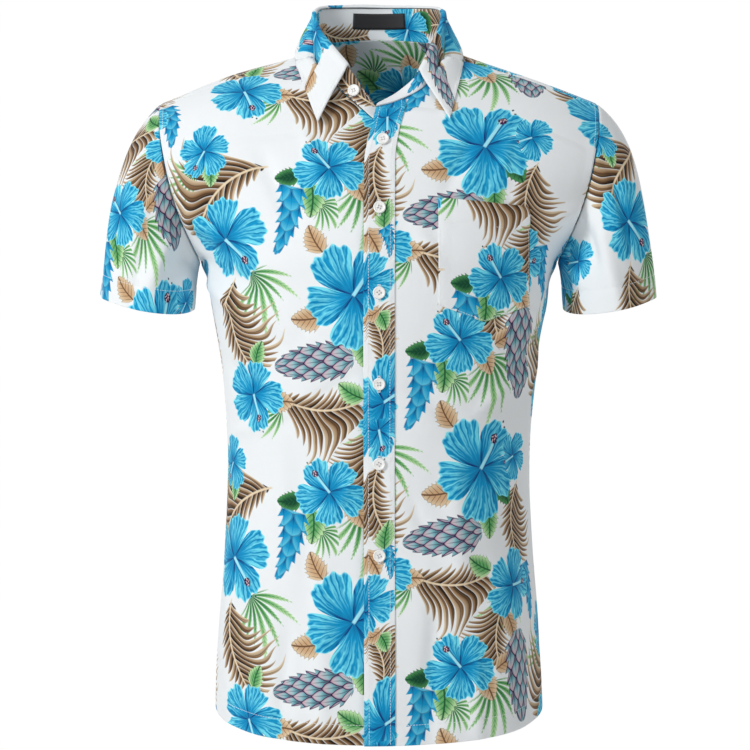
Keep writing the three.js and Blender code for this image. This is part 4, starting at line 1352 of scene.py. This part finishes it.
# The collar leaf and, higher up, its stand, each from the middle of its back
COLLAR_WIDTH = 560
COLLAR_HEIGHT = 260
COLLAR_FLOWERS = [
    (-124, -8, 36, -60),
    (106, -8, 34, 205),
    (-8, -58, 42, 40),
    (-72, -94, 30, 150),
    (70, -84, 36, -80),
    (42, 116, 28, -110),
    (-92, 128, 27, 20),
    (120, 122, 30, 160),
]
COLLAR_TAILS = [(-40, -18, 44, -70), (196, 114, 46, -10)]
COLLAR_CONES = [(-142, -22, 50, -104), (168, -34, 70, -74)]
COLLAR_FERNS = [
    (158, -22, 84, -70, -1),
    (-34, 112, 62, 168, 1),
    (40, -44, 70, 20, -1),
    (-190, 116, 70, 184, -1),
    (82, 122, 56, 8, 1),
]
COLLAR_LEAVES = [
    (-156, -50, 26, -96, 0.0),
    (64, 126, 26, -58, 1.0),
    (-98, -24, 26, -120, 0.5),
    (124, -34, 24, -70, 0.5),
    (30, -82, 28, 170, 0.0),
    (-62, 118, 24, 40, 0.0),
]
COLLAR_SPRAYS = [(-40, -70, 44, 200), (110, -96, 46, -60), (-128, 132, 40, 190)]

# Where each piece was cut from the cloth: a spot on the piece as the photo's camera sees it,
# measured on the plane y = 0, and the place on the cloth's tile that lies there
# columns: seen x, seen z, tile x, tile y, turn in degrees
CUT_FROM = {
    "front_right": (-101, -182, 0, 0, 0),
    "front_left": (36, -364, 0, 0, 0),
    "pocket": (127, -245, 50, 52, 0),
    "placket": (0, -299, 0, 0, 0),
    "sleeve_right": (-270, -176, 50, 52, -24),
    "sleeve_left": (262, -180, -62, -14, 10),
}
HIDDEN_CUTS = {"back": (0, 350, 40, -60, 0), "collar_stand": (0, 0, 0, 104, 0)}

GROUND_COLOUR = (236, 240, 242)
BLUE_DARK = (0, 52, 120)
BLUE_MID = (0, 148, 200)
BLUE_LIGHT = (124, 230, 246)
BLUE_PALE = (160, 232, 248)
PURPLE = (52, 24, 70)
MAUVE = (150, 90, 140)
DOT = (70, 64, 72)
SCALE_TEAL = (120, 196, 204)
SCALE_PINK = (226, 190, 196)
BROWN_DARK = (34, 20, 10)
BROWN_MID = (138, 104, 70)
BROWN_LIGHT = (228, 208, 176)
TAN = (200, 162, 122)
TAN_VEIN = (84, 50, 30)
GREEN_DARK = (4, 70, 44)
GREEN_MID = (84, 160, 92)
GREEN_LIGHT = (208, 242, 184)


def linear(colour):
    """A display colour of 0-255 as scene light."""
    shares = [c / 255 for c in colour]
    return tuple(s / 12.92 if s <= 0.04045 else ((s + 0.055) / 1.055) ** 2.4 for s in shares)


class Field:
    """A value in a node tree: a number, or a place or colour, that sums and products extend."""

    def __init__(self, tree, socket):
        self.tree = tree
        self.socket = socket

    def link(self, target, value):
        if isinstance(value, Field):
            self.tree.links.new(value.socket, target)
        else:
            target.default_value = value

    def math(self, operation, *values, clamp=False):
        node = self.tree.nodes.new("ShaderNodeMath")
        node.operation = operation
        node.use_clamp = clamp
        for target, value in zip(node.inputs, (self, *values)):
            self.link(target, value)
        return Field(self.tree, node.outputs[0])

    def vector(self, operation, *values, output="Vector"):
        node = self.tree.nodes.new("ShaderNodeVectorMath")
        node.operation = operation
        for target, value in zip(node.inputs, (self, *values)):
            self.link(target, value)
        return Field(self.tree, node.outputs[output])

    def __add__(self, other):
        return self.math("ADD", other)

    def __sub__(self, other):
        return self.math("SUBTRACT", other)

    def __mul__(self, other):
        return self.math("MULTIPLY", other)

    def __truediv__(self, other):
        return self.math("DIVIDE", other)

    def __pow__(self, other):
        return self.math("POWER", other)

    def __neg__(self):
        return self.math("MULTIPLY", -1.0)

    def scaled(self, gain, offset):
        return self.math("MULTIPLY_ADD", gain, offset)

    def below(self, limit, softness):
        """1 where the value is under the limit, falling to 0 over the softness."""
        gain = -1.0 / softness
        if isinstance(limit, Field):
            return (self - limit).math("MULTIPLY_ADD", gain, 0.5, clamp=True)
        return self.math("MULTIPLY_ADD", gain, 0.5 - gain * limit, clamp=True)

    def ramp(self, low, high):
        """0 at low and 1 at high, straight between them."""
        gain = 1.0 / (high - low)
        return self.math("MULTIPLY_ADD", gain, -low * gain, clamp=True)

    def absolute(self):
        return self.math("ABSOLUTE")

    def fraction(self):
        return self.math("FRACT")

    def from_middle(self):
        """0 in the middle of each repeat of 1 and 1 at its borders."""
        return (self.fraction() - 0.5).absolute() * 2.0

    def split(self):
        node = self.tree.nodes.new("ShaderNodeSeparateXYZ")
        self.tree.links.new(self.socket, node.inputs[0])
        return [Field(self.tree, output) for output in node.outputs]


def joined(x, y, z=0.0):
    node = x.tree.nodes.new("ShaderNodeCombineXYZ")
    for target, value in zip(node.inputs, (x, y, z)):
        x.link(target, value)
    return Field(x.tree, node.outputs[0])


def blended(factor, low, high, kind="RGBA"):
    """low where the factor is 0 and high where it is 1."""
    node = factor.tree.nodes.new("ShaderNodeMix")
    node.data_type = kind
    sockets = {socket.identifier: socket for socket in node.inputs}
    ends = {"RGBA": "Color", "VECTOR": "Vector", "FLOAT": "Float"}[kind]
    factor.link(sockets["Factor_Float"], factor)
    for name, value in (("A", low), ("B", high)):
        if kind == "RGBA" and not isinstance(value, Field):
            value = (*linear(value), 1)
        factor.link(sockets[f"{name}_{ends}"], value)
    output = next(socket for socket in node.outputs if socket.identifier == f"Result_{ends}")
    return Field(factor.tree, output)


def noise(place, scale, detail=1.0):
    node = place.tree.nodes.new("ShaderNodeTexNoise")
    place.link(node.inputs["Vector"], place)
    node.inputs["Scale"].default_value = scale
    node.inputs["Detail"].default_value = detail
    return Field(place.tree, node.outputs["Fac"])


def nearest(cloth, rows, width, height):
    """Places in the nearest motif's own frame, its size being 1, and its mark."""
    offset, frame, least = None, None, None
    reach = (width / 2, height / 2, 1.0)
    for x, y, size, turn, *mark in rows:
        angle = math.radians(turn)
        own = (math.cos(angle) / size, math.sin(angle) / size, mark[0] if mark else 0.0)
        away = cloth.vector("SUBTRACT", (x, y, 0.0))
        away = away.vector("WRAP", reach, tuple(-r for r in reach))
        distance = away.vector("LENGTH", output="Value") / size
        if offset is None:
            offset, frame, least = away, None, distance
            first = own
            continue
        closer = distance.math("LESS_THAN", least)
        offset = blended(closer, offset, away, "VECTOR")
        frame = blended(closer, frame or first, own, "VECTOR")
        least = least.math("MINIMUM", distance)
    if frame is None:
        frame = offset.vector("MULTIPLY", (0.0, 0.0, 0.0)).vector("ADD", first)
    cos, sin, mark = frame.split()
    x, y, _ = offset.split()
    return x * cos + y * sin, y * cos - x * sin, mark


def flower(cloth, rows, size):
    """A flower of five ruffled petals with dark veins, pale streaks and a long stamen."""
    u, v, _ = nearest(cloth, rows, *size)
    r = joined(u, v).vector("LENGTH", output="Value")
    angle = v.math("ARCTAN2", u)
    turn = angle * (5 / (2 * math.pi)) + r * 0.16 + 0.42
    across = turn.fraction()
    aside = turn.from_middle()
    petal = (turn.math("FLOOR") * 2.3).math("SINE")
    ruffle = (angle * 31.0 + petal * 4.0).math("SINE") * 0.022 + (angle * 14.0 + r * 6.0).math("SINE") * 0.03
    round_end = (aside.math("POWER", 4.4)).scaled(-1.0, 1.0).math("SQRT")
    reach = round_end.scaled(0.5, 0.44) + ruffle + petal * 0.05
    inside = reach - r
    mask = inside.ramp(-0.012, 0.012)
    depth = r / reach
    wander = noise(joined(angle * 2.2, r * 1.1), 2.2, 2.0)
    vein = (turn * 8.0 + wander * 2.4).from_middle()
    fine = (turn * 19.0 + wander * 3.5).from_middle()
    streak = (vein - 0.45) * 0.62 + (fine - 0.5) * 0.26
    tone = depth.ramp(0.0, 0.55) * 0.42 + streak * depth.ramp(0.1, 0.7) + (wander - 0.5) * 0.45 + 0.12
    shade = across.ramp(0.72, 0.98) * depth.ramp(1.15, 0.35)
    lit = across.ramp(0.16, 0.02) * depth.ramp(0.3, 0.8)
    tone = tone - shade * 0.5 + lit * 0.35 + inside.ramp(0.045, 0.01) * 0.4
    deep = blended(tone.ramp(-0.1, 0.36), BLUE_DARK, BLUE_MID)
    colour = blended(tone.ramp(0.4, 0.98), deep, BLUE_LIGHT)
    rod = v.absolute().below(0.034, 0.02) * (u - 0.28).absolute().below(0.3, 0.03)
    rod_side = (v + 0.03).absolute().below(0.03, 0.02) * (u - 0.28).absolute().below(0.28, 0.03)
    colour = blended(rod_side * 0.7, colour, BLUE_DARK)
    colour = blended(rod, colour, BLUE_PALE)
    tip_u, tip_v = (u - 0.63) * 9.0, v * 11.0
    tip_r = joined(tip_u, tip_v).vector("LENGTH", output="Value")
    speckle = noise(joined(tip_u, tip_v), 2.4, 0.0)
    tip = (tip_r + speckle * 0.8).below(1.3, 0.25)
    colour = blended(tip, colour, blended(speckle.ramp(0.5, 0.62), PURPLE, SCALE_PINK))
    dot_u, dot_v = (u - 0.9) * 9.0, v * 9.0
    dot_r = joined(dot_u, dot_v).vector("LENGTH", output="Value")
    dot_turn = dot_v.math("ARCTAN2", dot_u) * (5 / (2 * math.pi))
    dots = joined(dot_turn.from_middle() - 1.0, (dot_r - 0.9) * 1.4).vector("LENGTH", output="Value")
    dots = dots.below(0.36, 0.2)
    colour = blended(dots * mask.scaled(-1.0, 1.0), colour, DOT)
    return mask.math("MAXIMUM", tip).math("MAXIMUM", dots), colour


def scales(u, v, profile, rows, columns, lean):
    """Pointed scales that overlap toward +u: the place along a row, and inside a scale its edge, height and middle."""
    step = u * rows - v.absolute() * lean + 20.0
    share = step.fraction()
    odd = (step.math("FLOOR") * 0.5).fraction()
    around = v / (profile + 0.02) * columns
    under = ((around + odd).fraction() - 0.5).absolute()
    over = ((around - odd + 0.5).fraction() - 0.5).absolute()
    reach = (share * share).scaled(-0.5, 0.5)
    on_top = (reach - over).ramp(-0.015, 0.015)
    edge = blended(on_top, under.scaled(-1.0, 0.5), reach - over, "FLOAT")
    up = blended(on_top, share * 0.5, share * 0.5 + 0.5, "FLOAT")
    middle = blended(on_top, under, over, "FLOAT")
    return share, edge, up, middle


TAIL_ROWS = 6.6
TAIL_COLUMNS = 0.85


def tail(cloth, rows, size):
    """A hanging chain of small pointed petals that overlap and narrow to its tip."""
    u, v, _ = nearest(cloth, rows, *size)
    bent = v + (u * u) * 0.3 - 0.03
    width = (u.scaled(-1.0, 0.5)).math("MAXIMUM", 0.0) ** 0.5 * 0.24
    share, edge, up, middle = scales(u, bent, width, TAIL_ROWS, TAIL_COLUMNS, 2.4)
    inside = width * (share ** 1.6).scaled(0.42, 0.7) - bent.absolute()
    mask = inside.ramp(-0.008, 0.008) * u.absolute().below(0.5, 0.02)
    tone = up.ramp(0.1, 1.0) * 0.75 - middle.ramp(0.05, 0.0) * 0.16 + middle.ramp(0.1, 0.35) * 0.12
    deep = blended(tone.ramp(-0.1, 0.3), BLUE_DARK, BLUE_MID)
    colour = blended(tone.ramp(0.35, 0.95), deep, BLUE_LIGHT)
    return mask, blended(edge.ramp(0.1, 0.02) * 0.75, colour, BLUE_DARK)


CONE_ROWS = 8.0
CONE_COLUMNS = 1.6


def cone(cloth, rows, size):
    """A cone of pointed, overlapping scales, teal to pink with dark purple outlines."""
    u, v, _ = nearest(cloth, rows, *size)
    bow = u.scaled(1.0, 0.14) / 0.66
    profile = (bow * bow).scaled(-1.0, 1.0).math("MAXIMUM", 0.0) ** 0.62 * 0.24
    profile = profile * u.ramp(-0.53, -0.36).math("SQRT")
    share, edge, up, middle = scales(u, v, profile, CONE_ROWS, CONE_COLUMNS, 2.0)
    inside = profile * share.scaled(0.22, 0.84) - v.absolute()
    mask = inside.ramp(-0.006, 0.006) * u.absolute().below(0.51, 0.02)
    scale = blended(up.ramp(0.35, 0.95), SCALE_TEAL, SCALE_PINK)
    scale = blended(middle.ramp(0.06, 0.02) * up.ramp(1.0, 0.5) * 0.6, scale, PURPLE)
    scale = blended(up.ramp(0.5, 0.05) * 0.95, scale, PURPLE)
    scale = blended(edge.ramp(0.24, 0.1) * 0.6, scale, MAUVE)
    outline = edge.ramp(0.14, 0.07).math("MAXIMUM", inside.ramp(0.016, 0.005))
    return mask, blended(outline, scale, PURPLE)


FERN_BLADES = 12.0


def fern(cloth, rows, size):
    """A brown fern leaf: curved blades that lean along a bent stem, longer on one side."""
    u, v, longer = nearest(cloth, rows, *size)
    bent = v + (u * u) * 0.5 - 0.06
    side = bent * longer
    across = bent.absolute()
    reach = side.ramp(-0.001, 0.001).scaled(0.44, 0.25)
    root = u + across * 1.05 - across * across * 1.3
    along = root * 2.0
    sway = noise(joined(u, v), 2.6, 0.0) * 2.2
    uneven = ((root * FERN_BLADES + sway).math("FLOOR") * 2.4).math("SINE")
    envelope = (along * along).scaled(-1.0, 1.0).math("MAXIMUM", 0.0).math("SQRT") * reach
    share = across / (envelope * uneven.scaled(0.16, 1.0) + 0.001)
    place = (root * FERN_BLADES + sway).fraction()
    blade = (place - 0.5).absolute() * 2.0
    thin = (share ** 2.4).scaled(-0.98, 1.0).math("MAXIMUM", 0.0) * share.ramp(-0.1, 0.3).scaled(0.12, 0.88)
    mask = (thin - blade).ramp(-0.1, 0.1) * share.below(1.0, 0.05) * along.absolute().below(0.99, 0.01)
    stem = across.below(0.012, 0.01) * u.absolute().below(0.52, 0.03)
    tone = share * 0.5 + place.ramp(0.1, 0.9) * 0.6 + uneven * 0.18 - 0.12
    deep = blended(tone.ramp(-0.05, 0.4), BROWN_DARK, BROWN_MID)
    colour = blended(tone.ramp(0.35, 0.95), deep, BROWN_LIGHT)
    rib = (place - 0.42).absolute().below(0.06, 0.06) * share.ramp(1.0, 0.6)
    colour = blended(rib * 0.55, colour, BROWN_DARK)
    return mask.math("MAXIMUM", stem), blended(stem, colour, BROWN_LIGHT)


def leaf(cloth, rows, size):
    """A single lobed leaf with a dark midrib and side veins, tan or green by its mark."""
    u, v, kind = nearest(cloth, rows, *size)
    bent = v + (u * u) * 0.25
    across = bent.absolute()
    vein = ((u - across * 0.85) * 6.0 + bent.math("SIGN") * 0.2).from_middle()
    width = (u * u).scaled(-4.0, 1.0).math("MAXIMUM", 0.0) ** 0.62
    width = width * u.scaled(-0.24, 0.4) * (vein * vein).scaled(0.24, 0.8)
    inside = width - across
    mask = inside.ramp(-0.012, 0.012) * u.absolute().below(0.5, 0.02)
    lines = vein.ramp(0.2, 0.05) * inside.ramp(0.0, 0.1)
    lines = lines.math("MAXIMUM", across.below(0.026, 0.015))
    lines = lines.math("MAXIMUM", inside.ramp(0.03, 0.01) * 0.75)
    tone = inside.ramp(0.24, 0.02) * 0.8 + (vein - 0.5) * 0.3
    green = blended(tone, GREEN_MID, GREEN_LIGHT)
    dark_green = blended(tone, GREEN_DARK, GREEN_MID)
    body = blended(kind.ramp(0.1, 0.4), blended(tone, TAN, BROWN_LIGHT), green)
    body = blended(kind.ramp(0.6, 0.9), body, dark_green)
    rib = blended(kind.ramp(0.1, 0.4), TAN_VEIN, GREEN_DARK)
    return mask, blended(lines * 0.85, body, rib)


SPRAY_BLADES = 3.6


def spray(cloth, rows, size):
    """A spray of slender blades from one place, dark at the root and pale at edges and tips."""
    u, v, _ = nearest(cloth, rows, *size)
    r = joined(u, v).vector("LENGTH", output="Value")
    angle = v.math("ARCTAN2", u) + r * 0.45
    fan = angle * SPRAY_BLADES
    blade = fan.from_middle()
    uneven = (fan.math("FLOOR") * 4.3).math("SINE")
    reach = uneven.scaled(0.16, 0.84) - (angle * angle) * 0.22
    share = r / reach.math("MAXIMUM", 0.05)
    barb = ((r * 15.0) - blade * 2.2).from_middle()
    thin = (share * share).scaled(-0.9, 0.92) - barb * share * 0.22
    mask = (thin - blade).ramp(-0.1, 0.1) * angle.absolute().below(1.25, 0.1) * share.below(1.0, 0.06)
    tone = share * 0.7 + blade * 0.45 + barb * 0.18 + uneven * 0.1 - 0.12
    deep = blended(tone.ramp(0.0, 0.42), GREEN_DARK, GREEN_MID)
    return mask, blended(tone.ramp(0.36, 0.85), deep, GREEN_LIGHT)


CLOTH_GLOSS = 0.22


def printed_cloth(name, tables, size):
    """The printed cotton: its ground and motifs, its soft sheen and its fine weave."""
    material = plain_material(name, tuple(linear(GROUND_COLOUR)), 0.82, 0.05)
    tree = material.node_tree
    shader = tree.nodes["Principled BSDF"]
    shader.inputs["Specular IOR Level"].default_value = CLOTH_GLOSS
    source = tree.nodes.new("ShaderNodeUVMap")
    source.uv_map = "flat"
    flat = Field(tree, source.outputs["UV"]).vector("MULTIPLY", (1 / MM, 1 / MM, 0.0))
    colour = None
    for motif, rows in tables:
        mask, own = motif(flat, rows, size)
        colour = blended(mask, colour or GROUND_COLOUR, own)
    tree.links.new(colour.socket, shader.inputs["Base Color"])
    cloth_bump(tree, shader, flat)
    return material


WEAVE_PITCH = 0.45
PUCKER_PITCH = 7.0


def cloth_bump(tree, shader, flat):
    """Fine weave, faint crumple, and puckers beside the seams."""
    seam = tree.nodes.new("ShaderNodeAttribute")
    seam.attribute_name = "seam_far"
    near = Field(tree, seam.outputs["Fac"]).ramp(14.0, 1.5)
    x, y, _ = flat.split()
    crumple = noise(flat, 0.035, 3.0) * 1.3
    pucker = noise(flat, 1 / PUCKER_PITCH, 1.0) * near * 1.2
    weave = (x / WEAVE_PITCH).from_middle() * (y / WEAVE_PITCH).from_middle() * 0.05
    bump = tree.nodes.new("ShaderNodeBump")
    bump.inputs["Strength"].default_value = 0.6
    bump.inputs["Distance"].default_value = MM
    tree.links.new((crumple + pucker + weave).socket, bump.inputs["Height"])
    tree.links.new(bump.outputs["Normal"], shader.inputs["Normal"])


CAMERA_PLACE = (-0.0042, -2.6, -0.344)


def cut_from_cloth(cloth):
    """Turns the piece's flat places into places on the printed cloth's tile."""
    if cloth.name in HIDDEN_CUTS:
        flat_x, flat_y, tile_x, tile_y, turn = HIDDEN_CUTS[cloth.name]
    elif cloth.name in CUT_FROM:
        seen_x, seen_z, tile_x, tile_y, turn = CUT_FROM[cloth.name]
        flat_x, flat_y = seen_flat(cloth, seen_x, seen_z)
    else:
        return
    angle = math.radians(turn)
    x, y = cloth.flat[..., 0] - flat_x, cloth.flat[..., 1] - flat_y
    cloth.flat = np.stack([
        x * math.cos(angle) - y * math.sin(angle) + tile_x,
        x * math.sin(angle) + y * math.cos(angle) + tile_y,
    ], axis=-1)


def matched_cut(cloth, edge, other_edge):
    """Moves and turns a piece's flat places so that one edge meets another piece's edge in the print."""
    way, other_way = edge[-1] - edge[0], other_edge[-1] - other_edge[0]
    angle = math.atan2(other_way[1], other_way[0]) - math.atan2(way[1], way[0])
    cos, sin = math.cos(angle), math.sin(angle)
    away = cloth.flat - edge.mean(axis=0)
    turned = np.stack([away[..., 0] * cos - away[..., 1] * sin, away[..., 0] * sin + away[..., 1] * cos], axis=-1)
    cloth.flat = turned + other_edge.mean(axis=0)


def seen_flat(cloth, seen_x, seen_z):
    """The flat place of the grid point that the photo's camera sees nearest a spot on y = 0."""
    eye = np.array(CAMERA_PLACE) / MM
    ways = cloth.grid - eye
    seen = eye + ways * (-eye[1] / ways[..., 1])[..., None]
    miss = np.hypot(seen[..., 0] - seen_x, seen[..., 2] - seen_z)
    facing = np.sum(cloth.away * ways, axis=-1) < 0
    best = np.argmin(np.where(facing, miss, np.inf))
    return cloth.flat.reshape(-1, 2)[best]


def make_shirt():
    cloths = {"front_right": front_cloth(-1), "front_left": front_cloth(1), "back": back_cloth(),
              "yoke": yoke_cloth(), "sleeve_right": sleeve_cloth(-1), "sleeve_left": sleeve_cloth(1)}
    grounds = {"left": Ground(cloths["front_left"]), "right": Ground(cloths["front_right"])}
    cloths["placket"] = placket_cloth(grounds["left"])
    cloths["pocket"] = pocket_cloth(grounds["left"])
    cloths["collar_stand"] = stand_cloth()
    cloths["collar_leaf"] = leaf_cloth(grounds)
    cloths["neck_label"] = label_cloth()
    for cloth in cloths.values():
        cut_from_cloth(cloth)
    matched_cut(cloths["yoke"], cloths["yoke"].flat[0], cloths["front_right"].flat[-1])
    return cloths


# Pieces whose wall lies outside their grid of points, with their thickness
OUTWARD = {"placket": PLACKET_THICK, "pocket": CLOTH_THICK, "collar_stand": STAND_THICK,
           "collar_leaf": LEAF_THICK}


# Photo camera
CAMERA_ANGLE = math.radians(17.2)
FLOOR_Z = -1.6
BACKDROP_Y = 5.4


def camera():
    data = bpy.data.cameras.new("camera")
    data.angle = CAMERA_ANGLE
    made = bpy.data.objects.new("camera", data)
    made.location = CAMERA_PLACE
    made.rotation_euler = (math.radians(90), 0, 0)
    bpy.context.scene.collection.objects.link(made)
    bpy.context.scene.camera = made
    return made


def lamp(name, place, target, size, power):
    data = bpy.data.lights.new(name, "AREA")
    data.shape = "DISK"
    data.size = size
    data.energy = power
    made = bpy.data.objects.new(name, data)
    made.location = place
    aim = Vector(target) - Vector(place)
    made.rotation_euler = aim.to_track_quat("-Z", "Y").to_euler()
    bpy.context.scene.collection.objects.link(made)
    return made


def studio():
    """A pale floor, an even white surround and four soft lights."""
    world = bpy.data.worlds.new("surround")
    world.use_nodes = True
    background = world.node_tree.nodes["Background"]
    background.inputs["Color"].default_value = (1, 1, 1, 1)
    background.inputs["Strength"].default_value = 0.31
    bpy.context.scene.world = world
    bpy.context.scene.view_settings.view_transform = "Standard"
    bpy.ops.mesh.primitive_plane_add(size=12, location=(0, 0, FLOOR_Z))
    floor = bpy.context.object
    floor.name = "floor"
    paint(floor, plain_material("floor", (0.93, 0.93, 0.93), 0.9))
    bpy.ops.mesh.primitive_plane_add(size=20, location=(0, BACKDROP_Y, 0), rotation=(math.radians(90), 0, 0))
    backdrop = bpy.context.object
    backdrop.name = "backdrop"
    glow = plain_material("backdrop", (0, 0, 0), 1.0)
    glow.node_tree.nodes["Principled BSDF"].inputs["Emission Color"].default_value = (1, 1, 1, 1)
    glow.node_tree.nodes["Principled BSDF"].inputs["Emission Strength"].default_value = 1.0
    paint(backdrop, glow)
    lights = [
        lamp("key", (-2.1, -2.1, 0.85), (0, 0, -0.35), 1.0, 59),
        lamp("fill", (1.9, -1.8, 0.2), (0, 0, -0.35), 1.8, 6),
        lamp("neck", (0.1, -1.1, 1.5), (0, 0, 0), 0.9, 5),
        lamp("back", (0.2, 2.2, 1.2), (0, 0, -0.3), 1.8, 10),
    ]


def main():
    cloths = make_shirt()
    print_tables = [(spray, SPRAYS), (fern, FERNS), (leaf, LEAVES), (tail, TAILS), (cone, CONES),
                    (flower, FLOWERS)]
    strip_tables = [(spray, STRIP_SPRAYS), (fern, STRIP_FERNS), (leaf, STRIP_LEAVES), (tail, STRIP_TAILS),
                    (cone, STRIP_CONES), (flower, STRIP_FLOWERS)]
    cloth_material = printed_cloth("print_cloth", print_tables, (TILE_WIDTH, TILE_HEIGHT))
    strip_material = printed_cloth("print_strip", strip_tables, (STRIP_WIDTH, STRIP_HEIGHT))
    collar_tables = [(spray, COLLAR_SPRAYS), (fern, COLLAR_FERNS), (leaf, COLLAR_LEAVES), (tail, COLLAR_TAILS),
                     (cone, COLLAR_CONES), (flower, COLLAR_FLOWERS)]
    collar_material = printed_cloth("print_collar", collar_tables, (COLLAR_WIDTH, COLLAR_HEIGHT))
    thread_material = plain_material("thread", (0.86, 0.88, 0.88), 0.7)
    button_material = plain_material("button", (0.90, 0.90, 0.88), 0.3)
    label_material = plain_material("label", (0.012, 0.012, 0.014), 0.6)
    for name, cloth in cloths.items():
        piece = shell_object(cloth)
        is_label = name == "neck_label"
        own = {"neck_label": label_material, "placket": strip_material, "collar_stand": collar_material,
               "collar_leaf": collar_material}
        paint(piece, own.get(name, cloth_material))
        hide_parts(name)
        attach(piece, "root")
    placket_ground = Ground(cloths["placket"], PLACKET_THICK)
    holes = buttonholes(placket_ground, [(sum(read(PLACKET_EDGES, z)) / 2, z) for z in BUTTON_HEIGHTS])
    for piece in (sewing(cloths), holes):
        paint(piece, thread_material)
        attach(piece, "root")
    for name, disc, cord in buttons(placket_ground):
        paint(disc, button_material)
        paint(cord, thread_material)
        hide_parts(name)
        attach(disc, "root")
        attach(cord, "root")
    camera()
    studio()


main()
